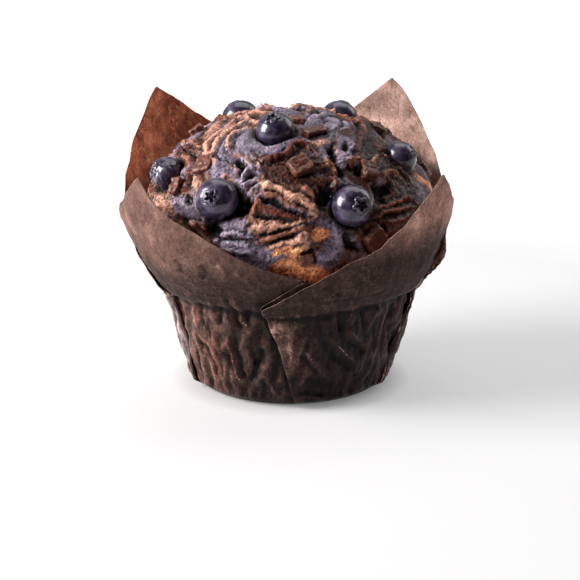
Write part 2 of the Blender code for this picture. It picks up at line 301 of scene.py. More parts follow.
# ---- material helpers ------------------------------------------------------------------------
class Shader:
    """A material being built: put() adds a node, sets its inputs and returns it."""

    def __init__(self, name):
        self.material = bpy.data.materials.new(name)
        self.material.use_nodes = True
        self.tree = self.material.node_tree
        self.main = self.tree.nodes["Principled BSDF"]
        coords = self.tree.nodes.new("ShaderNodeTexCoord")
        self.place = coords.outputs["Object"]

    def put(self, kind, settings=None, **inputs):
        node = self.tree.nodes.new("ShaderNode" + kind)
        for key, value in (settings or {}).items():
            setattr(node, key, value)
        for key, value in inputs.items():
            self.feed(node, key, value)
        return node

    def feed(self, node, key, value):
        socket = node.inputs[int(key[1:])] if key[0] == "i" and key[1:].isdigit() else node.inputs[key.replace("_", " ")]
        if isinstance(value, bpy.types.NodeSocket):
            self.tree.links.new(value, socket)
        elif isinstance(value, (tuple, list, np.ndarray)) and len(value) == 3 and socket.type == "RGBA":
            socket.default_value = (*[float(v) for v in value], 1.0)
        else:
            socket.default_value = value

    def attribute(self, name):
        return self.put("Attribute", {"attribute_name": name})

    def noise(self, scale, detail=3.0, rough=0.55, vector=None, distortion=0.0):
        node = self.put("TexNoise", Scale=scale, Detail=detail, Roughness=rough, Distortion=distortion)
        self.feed(node, "Vector", vector or self.place)
        return node.outputs["Fac"]

    def voronoi(self, scale, vector=None, feature="F1", randomness=1.0):
        node = self.put("TexVoronoi", {"feature": feature}, Scale=scale, Randomness=randomness)
        self.feed(node, "Vector", vector or self.place)
        return node.outputs["Distance"]

    def scaled(self, x, y, z):
        return self.put("Mapping", Vector=self.place, Scale=(x, y, z)).outputs[0]

    def range(self, value, lo, hi, to_lo=0.0, to_hi=1.0):
        node = self.put("MapRange", {"clamp": True}, Value=value)
        for key, v in (("From Min", lo), ("From Max", hi), ("To Min", to_lo), ("To Max", to_hi)):
            node.inputs[key].default_value = v
        return node.outputs[0]

    def math(self, op, a, b=None):
        node = self.put("Math", {"operation": op}, i0=a)
        if b is not None:
            self.feed(node, "i1", b)
        return node.outputs[0]

    def mix(self, factor, a, b, blend="MIX"):
        node = self.put("Mix", {"data_type": "RGBA", "blend_type": blend})
        self.feed(node, "i0", factor)
        self.feed(node, "i6", a)
        self.feed(node, "i7", b)
        return node.outputs[2]

    def bump(self, height, strength, distance, normal=None):
        node = self.put("Bump", Strength=strength, Distance=distance, Height=height)
        if normal is not None:
            self.feed(node, "Normal", normal)
        return node.outputs[0]

    def finish(self, **inputs):
        for key, value in inputs.items():
            self.feed(self.main, key, value)
        return self.material

# ---- the crown of the muffin -------------------------------------------------------------------
# Folds, lumps and cracks of the stirred batter: the colour that they are made of (n brown, b blue-grey
# with berry juice, c chocolate, t tan, o orange crust, k nearly black: very dark chocolate, and painted
# shade in the cracks and pits it fills), half width, height, half width of the colour, and the places they pass through
FEATURES = [
    ('c', 3.6, 0.5, 4.2, [(-16, 44), (-11, 49), (-6, 52), (1, 54), (7, 55)]),
    ('c', 3.2, 0.5, 4.0, [(-9, 45), (-2, 46), (3, 50)]),
    ('c', 3.0, 0.4, 3.6, [(12, 44), (17, 50), (17, 55)]),
    ('c', 2.6, 0.3, 3.0, [(9, 56), (7, 59)]),
    ('c', 4.0, 0.5, 5.0, [(81, 30), (68, 35), (66, 41), (63, 48)]),
    ('c', 4.0, 0.2, 4.5, [(46, 38), (44, 43), (53, 45)]),
    ('c', 4.0, 0.3, 5.0, [(60, 50), (62, 56), (60, 61)]),
    ('c', 3.6, 0.0, 5.0, [(35, 67), (45, 65), (57, 66)]),
    ('c', 3.6, 0.0, 3.5, [(28, 50), (33, 53), (36, 58)]),
    ('c', 2.6, 0.2, 3.6, [(-79, 47), (-63, 49), (-60, 51)]),
    ('c', 2.6, 0.0, 3.4, [(-52, 54), (-47, 58), (-47, 62)]),
    ('b', 3.4, 0.9, 4.4, [(-34, 52), (-40, 46), (-42, 39), (-42, 33), (-34, 31), (-24, 31)]),
    ('b', 2.8, 0.9, 3.6, [(-38, 36), (-28, 37), (-19, 37), (-10, 39), (-2, 39)]),
    ('b', 2.6, 0.6, 2.8, [(-13, 35), (-2, 35), (8, 32)]),
    ('b', 3.0, 0.9, 3.4, [(-12, 13), (135, 4), (144, 16), (124, 18)]),
    ('b', 3.2, 1.5, 3.6, [(21, 21), (40, 16), (59, 17), (48, 24), (33, 32)]),
    ('b', 2.4, 1.2, 3.0, [(61, 24), (51, 30), (38, 37), (30, 41)]),
    ('b', 2.0, 0.6, 2.4, [(24, 31), (22, 39), (21, 45)]),
    ('b', 1.8, 0.9, 2.2, [(35, 41), (28, 45), (23, 48)]),
    ('b', 2.2, 1.1, 2.6, [(-22, 56), (-20, 52), (-16, 48)]),
    ('b', 2.4, 0.8, 3.0, [(-26, 71), (-21, 70), (-15, 71)]),
    ('b', 1.7, 1.0, 2.2, [(-28, 77), (-22, 77), (-14, 76)]),
    ('b', 3.2, 0.7, 3.8, [(-21, 80), (-13, 82), (-6, 83)]),
    ('b', 2.6, 0.5, 3.0, [(-9, 79), (-1, 82)]),
    ('b', 2.0, 0.4, 2.4, [(2, 75), (7, 74)]),
    ('b', 3.0, 0.8, 3.6, [(14, 70), (18, 72), (17, 76), (15, 80), (12, 84)]),
    ('b', 2.2, 0.5, 2.8, [(65, 60), (67, 64), (61, 66)]),
    ('b', 2.0, 0.5, 2.2, [(84, 57), (92, 64)]),
    ('b', 1.8, 0.8, 2.2, [(-79, 45), (-84, 41), (-95, 36), (-106, 32), (-115, 26)]),
    ('b', 2.4, 0.5, 3.0, [(-53, 65), (-44, 67), (-38, 68)]),
    ('b', 2.0, 0.5, 2.0, [(25, 54), (19, 57)]),
    ('b', 2.2, 0.6, 2.6, [(22, 66), (17, 68)]),
    ('t', 2.6, 0.6, 2.6, [(-12, 54), (-7, 56), (-1, 58), (5, 61)]),
    ('t', 1.9, 0.4, 2.0, [(11, 38), (19, 36), (23, 35)]),
    ('t', 2.4, 0.5, 2.6, [(-68, 66), (-58, 67), (-51, 69)]),
    ('t', 1.8, 0.5, 1.8, [(-47, 56), (-42, 58), (-41, 59)]),
    ('t', 2.2, 0.3, 2.8, [(-14, 68), (-9, 70), (-4, 71)]),
    ('t', 2.2, 0.3, 2.8, [(-1, 77), (4, 76), (7, 72)]),
    ('o', 2.6, 0.2, 3.0, [(-6, 85), (-1, 84), (6, 86), (13, 88)]),
    ('o', 1.6, 0.3, 2.0, [(9, 72), (13, 72)]),
    ('o', 1.6, 0.5, 2.0, [(67, 57), (73, 60), (79, 65), (81, 66)]),
    ('o', 1.5, 0.2, 1.8, [(-1, 79), (3, 79)]),
    ('t', 1.0, 1.0, 1.3, [(-44, 48), (-50, 44), (-59, 40), (-63, 35), (-69, 28), (-87, 20), (-138, 20)]),
    ('t', 0.8, 1.0, 1.0, [(-38, 49), (-45, 45), (-54, 38), (-57, 32), (-56, 26), (-60, 18)]),
    ('t', 0.9, 0.9, 1.0, [(-36, 41), (-42, 36), (-45, 30), (-41, 26), (-36, 24)]),
    ('t', 0.6, 0.7, 0.7, [(-102, 44), (-102, 40), (-112, 36), (-117, 29), (-136, 26)]),
    ('t', 0.6, 0.8, 0.7, [(-112, 14), (-98, 7), (99, 2), (98, 7)]),
    ('t', 0.6, 0.9, 0.7, [(153, 26), (137, 24), (110, 23), (66, 27), (48, 34)]),
    ('n', 0.9, 1.0, 1.0, [(-62, 21), (-74, 17), (-86, 13), (-104, 7)]),
    ('t', 0.5, 0.6, 0.8, [(-32, 52), (-31, 55)]),
    ('k', 0.5, -1.1, 0, [(-43, 45), (-52, 42), (-57, 38), (-65, 32), (-72, 25), (-88, 18)]),
    ('c', 0.5, -1.0, 0, [(-35, 48), (-43, 43), (-48, 38), (-52, 31), (-51, 26)]),
    ('k', 0.45, -0.9, 0, [(-86, 40), (-102, 37), (-111, 32), (-131, 30)]),
    ('c', 0.45, -0.8, 0, [(-34, 40), (-38, 36), (-38, 31), (-34, 28)]),
    ('k', 0.4, -1.1, 0.6, [(75, 20), (52, 26), (38, 31)]),
    ('k', 0.4, -0.8, 0.6, [(73, 25), (52, 33), (42, 39)]),
    ('c', 0.4, -0.8, 0, [(15, 21), (26, 14), (80, 10), (100, 16)]),
    ('c', 0.9, 1.6, 1.0, [(-22, 41), (-16, 44), (-9, 43), (-3, 41), (3, 37), (9, 36), (13, 39)]),
    ('k', 0.5, -0.9, 0, [(-21, 43), (-14, 45), (-8, 45), (-2, 43)]),
    ('t', 0.5, 0.9, 0.5, [(-21, 41), (-16, 47), (-12, 52), (-7, 55)]),
    ('n', 1.5, 1.6, 1.5, [(16, 46), (21, 47), (22, 52)]),
    ('c', 1.1, 1.0, 1.2, [(21, 54), (18, 57)]),
    ('n', 1.3, 1.2, 1.1, [(5, 56), (9, 59), (9, 62)]),
    ('t', 1.3, 1.2, 1.3, [(-13, 54), (-8, 56), (-1, 59), (4, 60), (8, 63)]),
    ('c', 0.5, -1.3, 0, [(-12, 58), (-7, 58), (-1, 61), (6, 64)]),
    ('n', 0.8, 1.2, 0.8, [(-13, 60), (-9, 59), (-4, 60), (3, 63), (7, 65)]),
    ('k', 0.55, -1.3, 0.7, [(-12, 62), (-7, 61), (-1, 64), (5, 66)]),
    ('c', 1.2, 1.0, 1.3, [(-14, 64), (-10, 63), (-4, 66), (4, 67)]),
    ('k', 0.6, -1.3, 0.8, [(-14, 66), (-9, 67), (-2, 68), (6, 68)]),
    ('t', 1.1, 1.2, 1.1, [(-13, 70), (-7, 69), (0, 69), (7, 68)]),
    ('k', 0.5, -1.1, 0.6, [(-12, 72), (-5, 71), (2, 70)]),
    ('n', 0.8, 1.1, 0.8, [(-10, 74), (-4, 72), (4, 71), (8, 70)]),
    ('k', 0.5, -1.1, 0.6, [(-9, 75), (-2, 74), (3, 72)]),
    ('t', 0.9, 1.0, 0.9, [(-8, 77), (-4, 76), (2, 74), (7, 72)]),
    ('c', 0.5, -0.8, 0.6, [(-7, 79), (-1, 78), (4, 75)]),
    ('o', 1.1, 0.7, 1.1, [(-6, 79), (-1, 78), (4, 77)]),
    ('n', 0.8, 1.0, 0.8, [(-16, 66), (-14, 65), (-13, 62), (-12, 60)]),
    ('t', 1.0, 0.9, 1.0, [(7, 61), (9, 64), (8, 67)]),
    ('n', 0.8, 1.0, 0.7, [(33, 66), (43, 65), (58, 65)]),
    ('k', 0.4, -1.0, 0.5, [(35, 67), (44, 66), (58, 67)]),
    ('n', 0.8, 1.1, 0.7, [(33, 68), (44, 67), (59, 69)]),
    ('k', 0.4, -1.0, 0.5, [(34, 70), (45, 69), (55, 70)]),
    ('c', 0.9, 1.0, 0.9, [(36, 71), (45, 71), (54, 70)]),
    ('t', 0.5, 1.1, 0.6, [(56, 46), (59, 52), (59, 56), (61, 60)]),
    ('n', 1.5, 1.5, 1.3, [(28, 48), (35, 46), (39, 46)]),
    ('n', 1.4, 1.4, 1.2, [(44, 54), (52, 54), (54, 56)]),
    ('c', 1.6, 1.3, 1.4, [(68, 32), (44, 39), (35, 44)]),
    ('c', 1.5, 1.2, 1.4, [(61, 39), (58, 46)]),
    ('t', 0.6, 1.0, 0.6, [(51, 46), (43, 49), (44, 52)]),
    ('n', 1.3, 1.3, 1.1, [(-84, 47), (-79, 44), (-72, 41)]),
    ('n', 1.1, 1.3, 1.0, [(-70, 50), (-61, 50), (-56, 51)]),
    ('t', 1.1, 1.1, 1.1, [(-41, 72), (-38, 71)]),
    ('b', 1.0, 1.0, 1.0, [(-35, 70), (-33, 69)]),
    ('k', 0.7, -1.3, 0.8, [(-66, 46), (-57, 47), (-55, 44)]),
    ('k', 0.9, -1.5, 1.0, [(-49, 54), (-47, 58), (-47, 60)]),
    ('k', 0.8, -1.2, 0.9, [(-45, 63), (-42, 65)]),
    ('k', 0.6, -1.0, 0.8, [(-48, 69), (-44, 70), (-44, 72)]),
    ('k', 0.7, -1.2, 0.8, [(-102, 44), (-102, 41), (-87, 35)]),
    ('b', 0.8, 1.2, 0.9, [(-21, 54), (-20, 51), (-17, 48)]),
    ('b', 0.7, 1.1, 0.8, [(-20, 56), (-17, 54), (-14, 52)]),
    ('b', 0.7, 1.0, 0.7, [(-18, 59), (-15, 57), (-13, 55)]),
    ('k', 0.5, -1.1, 0.5, [(-20, 55), (-17, 52), (-15, 50)]),
    ('k', 0.5, -1.0, 0.5, [(-18, 58), (-16, 56), (-13, 54)]),
    ('b', 0.8, 0.9, 0.8, [(-27, 74), (-20, 73), (-14, 73)]),
    ('k', 0.45, -0.9, 0.5, [(-25, 75), (-20, 75), (-15, 74)]),
    ('b', 0.9, 0.8, 0.9, [(-25, 79), (-19, 79), (-13, 78)]),
    ('k', 0.4, -0.8, 0.4, [(-26, 80), (-20, 81)]),
    ('k', 2.2, -2.8, 2.2, [(-23, 60), (-19, 62), (-17, 65)]),
    ('k', 2.3, -2.4, 2.3, [(-31, 70), (-29, 73), (-27, 75)]),
    ('k', 1.8, -2.2, 1.8, [(-24, 66), (-18, 65)]),
    ('k', 1.2, -2.2, 1.1, [(-28, 44), (-23, 48), (-24, 52)]),
    ('k', 2.0, -2.8, 2.0, [(17, 56), (13, 60), (12, 63)]),
    ('k', 0.9, -2.4, 0.9, [(26, 37), (23, 43), (23, 49), (24, 54)]),
    ('k', 1.7, -2.4, 1.6, [(40, 56), (40, 60), (46, 59)]),
    ('k', 1.2, -1.8, 1.2, [(37, 61), (41, 64)]),
    ('k', 1.4, -1.8, 1.3, [(21, 72), (22, 76), (26, 79)]),
    ('k', 1.4, -1.6, 1.3, [(38, 72), (39, 76), (36, 80)]),
    ('k', 0.9, -1.6, 0.9, [(8, 77), (9, 80), (9, 83)]),
    ('k', 0.9, -1.6, 0.9, [(36, 38), (31, 42)]),
    ('k', 1.1, -1.4, 1.0, [(-22, 32), (-13, 35), (-6, 33)]),
    ('k', 1.0, -1.5, 1.0, [(43, 49), (38, 53)]),
    ('k', 1.0, -1.4, 0.8, [(34, 49), (33, 53)]),
]
# each colour as a shaded and a lit copy: painted light and shade, chosen by the relief
COLOURS = {
    "n": (srgb(52, 26, 18), srgb(128, 80, 63)), "b": (srgb(50, 41, 58), srgb(146, 130, 150)), "c": (srgb(26, 8, 4), srgb(92, 43, 29)),
    "t": (srgb(72, 39, 28), srgb(188, 137, 117)), "o": (srgb(222, 126, 80), srgb(255, 172, 122)), "k": (srgb(6, 3, 3), srgb(22, 12, 11)),
}


def crown_grid():
    """Points of the crown as a quad-faced dome: a square sheet on top and rings down to the rim."""
    profile, length = catmull([(r, z) for r, z in CROWN][::-1], 400)
    profile[:, 0] = np.maximum(profile[:, 0], 0)
    n, spacing = 152, 0.436
    top = spacing * (n - 1) / 2
    i, j = np.meshgrid(np.linspace(-1, 1, n), np.linspace(-1, 1, n), indexing="ij")
    big = np.maximum(np.abs(i), np.abs(j))
    with np.errstate(divide="ignore", invalid="ignore"):
        angle = np.where(np.abs(i) >= np.abs(j), math.pi / 4 * j / np.where(i == 0, 1, i) + np.where(i < 0, math.pi, 0), math.pi / 2 - math.pi / 4 * i / np.where(j == 0, 1, j) + np.where(j < 0, math.pi, 0))
    run = [big.ravel() * top]
    turn = [angle.ravel()]
    edge = [(0, k) for k in range(n - 1)] + [(k, n - 1) for k in range(n - 1)] + [(n - 1, k) for k in range(n - 1, 0, -1)] + [(k, 0) for k in range(n - 1, 0, -1)]
    loop = np.array([a * n + b for a, b in edge])
    rings = int(round((length - top) / spacing))
    for k in range(1, rings + 1):
        run.append(np.full(len(loop), top + (length - top) * k / rings))
        turn.append(turn[0][loop])
    run, turn = np.concatenate(run), np.concatenate(turn)
    s = run / length * 399
    r, z = np.interp(s, np.arange(400), profile[:, 0]), np.interp(s, np.arange(400), profile[:, 1])
    slope = np.gradient(profile, axis=0)
    nr, nz = np.interp(s, np.arange(400), -slope[:, 1]), np.interp(s, np.arange(400), slope[:, 0])
    norm = np.hypot(nr, nz)
    points = np.stack([r * np.sin(turn), -r * np.cos(turn), z], 1)
    normals = np.stack([nr / norm * np.sin(turn), -nr / norm * np.cos(turn), nz / norm], 1)
    q = grid_quads(n, n)
    m = len(loop)
    below = n * n + np.arange(rings * m).reshape(rings, m)
    levels = np.vstack([loop[None, :], below])
    side = np.stack([levels[:-1], np.roll(levels[:-1], -1, 1), np.roll(levels[1:], -1, 1), levels[1:]], -1).reshape(-1, 4)
    return points, normals, q, side, levels[-1]


def crown_paths(rng):
    """The named folds, and more of the same kind scattered over the back."""
    for colour, width, height, paint, places in FEATURES:
        yield colour, width, height, paint, places
    for k in range(130):
        az, polar = rng.uniform(98, 262), rng.uniform(6, 88)
        turn = rng.uniform(0, 360)
        curl = rng.uniform(-28, 28)
        places = []
        for _ in range(rng.integers(3, 6)):
            places.append((wrap(az), polar))
            pull = 9.0 / max(math.sin(math.radians(max(polar, 14))), 0.25)
            az += pull * math.cos(math.radians(turn))
            polar = min(max(polar + 7.0 * math.sin(math.radians(turn)), 4), 90)
            turn += curl
        if k < 34:
            yield rng.choice(list("bbbccnt")), rng.uniform(2.2, 3.6), rng.uniform(0.2, 0.9), rng.uniform(2.8, 4.2), places
        elif k < 84:
            yield rng.choice(list("btnnc")), rng.uniform(0.7, 1.3), rng.uniform(0.8, 1.4), rng.uniform(0.8, 1.3), places
        elif k < 116:
            yield rng.choice(list("ck")), rng.uniform(0.4, 0.6), rng.uniform(-1.3, -0.8), 0.6, places
        else:
            yield "k", rng.uniform(0.9, 1.8), rng.uniform(-2.2, -1.4), rng.uniform(0.8, 1.6), places[:3]


def blur(values, faces, times):
    """Heights averaged over the mesh."""
    a, b = faces.ravel(), np.roll(faces, -1, 1).ravel()
    count = len(values)
    share = np.bincount(a, minlength=count) + np.bincount(b, minlength=count)
    for _ in range(times):
        around = np.bincount(a, weights=values[b], minlength=count) + np.bincount(b, weights=values[a], minlength=count)
        values = 0.45 * values + 0.55 * around / np.maximum(share, 1)
    return values


def make_crown():
    p, n, top_quads, side_quads, rim = crown_grid()
    rng = np.random.default_rng(11)
    wob = p + 0.9 * vector_noise(p * 0.22, 3) + 0.42 * vector_noise(p * 0.7, 5) + 0.2 * vector_noise(p * 1.9, 8)
    # marbled batter everywhere: stripes of a warped field
    warp = p + 5.0 * vector_noise(p * 0.055, 21) + 1.6 * vector_noise(p * 0.17, 24)
    a = np.arctan2(p[:, 0], -p[:, 1])
    polar = np.degrees(np.arctan2(np.hypot(p[:, 0], p[:, 1]), p[:, 2] - CROWN_C))
    stripe = 0.55 * warp[:, 2] + 0.35 * warp[:, 0] + 2.2 * a
    marble = np.sin(stripe * 0.62)
    fine = np.sin(stripe * 2.1 + 1.5 * perlin(p * 0.3, 31))
    weights = {c: np.zeros(len(p)) for c in COLOURS}
    blue = step(-0.1, 0.35, marble + 0.5 * perlin(p * 0.16, 41))
    choc = step(0.05, 0.4, -marble + 0.6 * perlin(p * 0.13, 43)) * (1 - blue)
    tan = step(0.55, 0.95, np.abs(fine)) * 0.7
    weights["b"] = blue * (1 - tan)
    weights["c"] = choc * (1 - tan)
    weights["t"] = tan
    weights["n"] = np.clip(1 - sum(weights.values()), 0, 1)
    cover = np.zeros(len(p))
    relief = np.zeros(len(p))
    for colour, width, height, paint, places in crown_paths(rng):
        line = np.array([crown_point(az, pol)[0] for az, pol in places])
        line, _ = catmull(line, 6 * len(line))
        reach = max(3.2 * width, 1.5 * paint) + 0.5
        idx, dist, side, place = near_path(wob, line, reach)
        taper = np.clip(np.sin(math.pi * np.clip(place, 0.02, 0.98)) * 2.2, 0.25, 1.0) ** 0.7
        w = width * (0.55 + 0.45 * taper)
        if height > 0:
            sharp = 0.35 if width < 1.5 else 0.12
            body = np.exp(-(dist / w) ** 2)
            crease = np.exp(-((side - 1.35 * w) / (0.35 * w)) ** 2) * (dist < 2.4 * w)
            relief[idx] += height * (body * taper - sharp * crease * taper)
        else:
            relief[idx] += height * taper * np.exp(-((dist / w) ** (1.3 if width < 0.8 else 2.2)))
        if paint:
            wash = step(1.0, 0.62, dist / (paint * (0.5 + 0.5 * taper))) * (1.0 if colour != "k" else 0.85)
            for c in weights:
                weights[c][idx] *= 1 - wash
            weights[colour][idx] += wash
        cover[idx] = np.maximum(cover[idx], step(1.0, 0.4, dist / reach))
    back = 1 - cover
    ridges = (1 - np.abs(np.sin(stripe * 1.05 + 0.8 * perlin(p * 0.2, 51)))) ** 2
    f1, f2 = cells(wob * 0.42, 61)
    lumps = 0.5 - f1
    relief += back * (0.9 * ridges - 0.3) + 0.75 * perlin(p * 0.09, 71) + 0.5 * lumps * (0.4 + 0.6 * back)
    calm = 1 - 0.55 * np.clip(weights["b"], 0, 1)
    relief += calm * (0.28 * fbm(p * 0.55, 2, 81) + 0.16 * fbm(p * 1.3, 2, 83))
    grain = weights["b"] * 0.5 + weights["c"] * 0.9 + weights["t"] * 0.7 + weights["n"] * 1.0 + weights["o"] * 0.4 + weights["k"] * 0.8
    relief += 0.16 * grain * (0.5 - cells(p * 1.05, 91)[0]) + 0.07 * perlin(p * 2.6, 95)
    # rough, torn crumb at the upper left
    torn = step(-92, -75, np.degrees(a)) * step(-42, -58, np.degrees(a)) * step(34, 44, polar) * step(76, 68, polar)
    relief += torn * (0.8 * (cells(p * 0.55, 97)[0] - 0.45) + 0.35 * perlin(p * 1.2, 98))
    # bake pores, deeper in the crust
    pores = np.clip(0.32 - cells(p * 0.62, 101)[0], 0, 1) * (perlin(p * 0.2, 103) > -0.1)
    relief -= 1.4 * pores
    relief = np.clip(relief, -4.2, 2.6)
    relief *= step(31.5, 40, p[:, 2])
    # a seat pressed round every berry and chunk, and a painted shadow round each, wider below the berries
    seat_shadow = np.zeros(len(p))
    for az, pol, off, radius, *_ in BERRIES.values():
        c = crown_point(az, pol, off)[0]
        d = np.linalg.norm(p + n * relief[:, None] - c, axis=1)
        seat_shadow = np.maximum(seat_shadow, step(radius + 2.0 + 2.2 * step(1.0, -2.0, p[:, 2] - c[2]), radius + 0.3, d))
        relief = relief - 1.1 * step(radius + 1.5, radius - 0.3, d)
    for az, pol, off, wide, deep, thick, _ in CHUNKS.values():
        c = crown_point(az, pol, off)[0]
        d = np.linalg.norm(p - c, axis=1)
        relief = relief - 0.35 * step(wide * 0.72, wide * 0.45, d)
        seat_shadow = np.maximum(seat_shadow, 0.6 * step(wide * 0.78, wide * 0.55, d))
    low = step(48, 40, p[:, 2])
    relief = np.where(p[:, 2] < 46, np.minimum(relief, 0.5 + 0 * low), relief)
    q = p + n * relief[:, None]
    room = case_radius(q[:, 2], np.degrees(np.arctan2(q[:, 0], -q[:, 1]))) - 1.1
    far = np.hypot(q[:, 0], q[:, 1])
    shrink = np.where((q[:, 2] < 46) & (far > room), room / far, 1.0)
    q[:, :2] *= shrink[:, None]
    total = sum(weights.values())
    faces = np.vstack([top_quads, side_quads])
    near = blur(relief, faces, 5)
    wide = blur(near, faces, 45)
    # painted light and shade: each colour runs from its shaded to its lit copy by how far a point stands above the
    # surface round it; below, crests are painted lighter and hollows painted darker
    high = np.clip(0.46 + 1.7 * (relief - near) + 0.85 * (relief - wide) + 0.2 * perlin(p * 0.5, 121), 0, 1)[:, None]
    tint = sum((weights[c] / total)[:, None] * (dark + (light - dark) * high) for c, (dark, light) in COLOURS.items())
    streak = 1 + 0.22 * fbm(wob * 0.8, 3, 111) + 0.12 * perlin(wob * 2.4, 115)
    hollow_shade = step(-0.1, -1.5, relief)
    ridge = np.exp(np.clip(1.3 * (relief - near) + 0.3 * (relief - wide), -1.6, 0.5))
    tint = tint * ridge[:, None] * streak[:, None] * (1 - 0.75 * hollow_shade[:, None]) * (1 - 0.9 * seat_shadow[:, None])
    # the hidden body in the case closes the mesh
    verts = [q]
    quads = [top_quads, side_quads]
    last = rim
    count = len(q)
    for z, r in ((28.0, 33.6), (16.0, 30.4), (4.0, 27.0), (1.6, 24.0)):
        ang = np.arctan2(q[rim, 0], -q[rim, 1])
        verts.append(np.stack([r * np.sin(ang), -r * np.cos(ang), np.full(len(ang), z)], 1))
        new = count + np.arange(len(rim))
        quads.append(np.stack([last, np.roll(last, -1), np.roll(new, -1), new], 1))
        last, count = new, count + len(rim)
    verts.append(np.array([[0, 0, 1.6]]))
    tris = np.stack([last, np.roll(last, -1), np.full(len(last), count)], 1)
    extra = count + 1 - len(q)
    pad = lambda v, fill: np.concatenate([v, np.full((extra,) + v.shape[1:], fill)])
    gloss = weights["b"] * 0.6 + weights["c"] * 0.7 + weights["t"] * 0.4 + weights["k"] * 0.5 + torn * 0.6
    return make_piece("muffin_crumb", np.vstack(verts), np.vstack(quads), tris, {"gloss": pad(np.clip(gloss, 0, 1), 0.2), "chocolate": pad(weights["c"] / total, 0.0), "bluish": pad(weights["b"] / total, 0.0)}, {"tint": pad(np.clip(tint, 0.002, 1), 0.1)})


def crumb_material():
    m = Shader("swirled_crumb")
    # tint: the crown's colours with their painted light and shade
    tint = m.attribute("tint").outputs["Color"]
    choc = m.attribute("chocolate").outputs["Fac"]
    blue = m.attribute("bluish").outputs["Fac"]
    gloss = m.attribute("gloss").outputs["Fac"]
    broad = m.noise(260, 4, 0.6)
    fine = m.noise(1500, 4, 0.65)
    tone = m.math("ADD", m.range(broad, 0.3, 0.7, 0.72, 1.28), m.range(fine, 0.3, 0.7, -0.42, 0.42))
    grey = m.put("CombineColor")
    for socket in grey.inputs[:3]:
        m.tree.links.new(tone, socket)
    colour = m.mix(1.0, tint, grey.outputs[0], "MULTIPLY")
    warm = m.range(m.noise(700, 3, 0.6, distortion=0.6), 0.55, 0.7)
    colour = m.mix(m.math("MULTIPLY", m.math("MULTIPLY", warm, 0.45), blue), colour, tuple(srgb(120, 84, 70)))
    specks = m.range(m.voronoi(620), 0.10, 0.2, 1.0, 0.0)
    specks = m.math("MULTIPLY", specks, m.range(m.noise(330, 2), 0.5, 0.6))
    colour = m.mix(m.math("MULTIPLY", m.math("MULTIPLY", specks, choc), 0.3), colour, tuple(srgb(205, 185, 180)))
    # pores painted dark inside: painted shade in them
    holes = m.range(m.voronoi(850), 0.12, 0.26, 1.0, 0.0)
    holes = m.math("MULTIPLY", holes, m.range(m.noise(210, 2), 0.45, 0.6))
    colour = m.mix(m.math("MULTIPLY", holes, 0.75), colour, tuple(srgb(32, 20, 20)))
    height = m.math("ADD", m.math("MULTIPLY", fine, 0.8), m.math("MULTIPLY", holes, -1.2))
    height = m.math("ADD", height, m.math("MULTIPLY", m.voronoi(1300, feature="SMOOTH_F1"), 0.8))
    normal = m.bump(height, 1.0, 0.0006)
    rough = m.math("ADD", m.range(gloss, 0.0, 1.0, 0.55, 0.27), m.range(fine, 0.3, 0.7, -0.1, 0.12))
    return m.finish(Base_Color=colour, Roughness=rough, Normal=normal, Specular_IOR_Level=0.14, Coat_Weight=0.2, Coat_Roughness=0.08)

# ---- berries -----------------------------------------------------------------------------------
def berry_points(radius, rng, wrinkled):
    """A berry with its calyx at the pole: a sunken star inside a ragged rim."""
    cols, rows = 96, 66
    polar = np.concatenate([np.linspace(1.2, 34, 30), np.linspace(36, 178, rows - 30)])
    phi = np.linspace(0, TAU, cols, endpoint=False)
    t, f = np.meshgrid(np.radians(polar), phi, indexing="ij")
    deg = np.degrees(t)
    turn = rng.uniform(0, TAU)
    seed = int(rng.integers(1, 9999))
    unit = np.stack([np.sin(t) * np.cos(f), np.sin(t) * np.sin(f), np.cos(t)], -1).reshape(-1, 3)
    rag = (perlin(np.stack([np.cos(phi) * 2.2, np.sin(phi) * 2.2, np.zeros(cols)], 1), seed) * 2.2)[None, :]
    lobe = np.cos(5 * (f + turn) + 0.5 * np.sin(2 * f))
    star = 12.5 + 4.5 * lobe + 0.8 * rag
    rim = 20.5 + 4.0 * lobe + rag
    inside = step(star + 1.6, star - 1.0, deg)
    wall = step(star - 0.5, star + 2.0, deg) * step(rim + 3.0, rim - 0.5, deg)
    groove = np.exp(-((deg - rim - 4.0) / 2.2) ** 2)
    r = 1.0 - 0.135 * inside + 0.035 * wall * (1 + 0.4 * rag / 2) - 0.018 * groove
    r = r.ravel() * (1 + 0.018 * perlin(unit * 1.3, seed + 5) + 0.006 * perlin(unit * 4, seed + 6))
    if wrinkled:
        squeezed = unit * np.array([2.3, 0.9, 0.9]) + 0.35 * vector_noise(unit * 1.4, seed)
        folds = np.abs(perlin(squeezed * 1.5, seed + 9)) ** 0.8
        r *= 0.94 + 0.12 * folds - 0.02 * np.abs(perlin(unit * 6, seed + 11))
    pts = unit * r[:, None] * radius
    pts[:, 2] *= 0.93
    bloom = np.clip(0.55 + 0.75 * fbm(unit * 1.7 + 9, 3, seed + 2) + 0.25 * perlin(unit * 7, seed + 3), 0, 1)
    bloom = bloom * (1 - inside.ravel()) + 1.1 * wall.ravel()
    # darker inside the sunken star; the darker ring along the groove under the rim is painted shade
    dark = np.clip(inside.ravel() * 0.9 + 0.5 * groove.ravel(), 0, 1)
    return pts, np.clip(bloom, 0, 1), dark, rows, cols


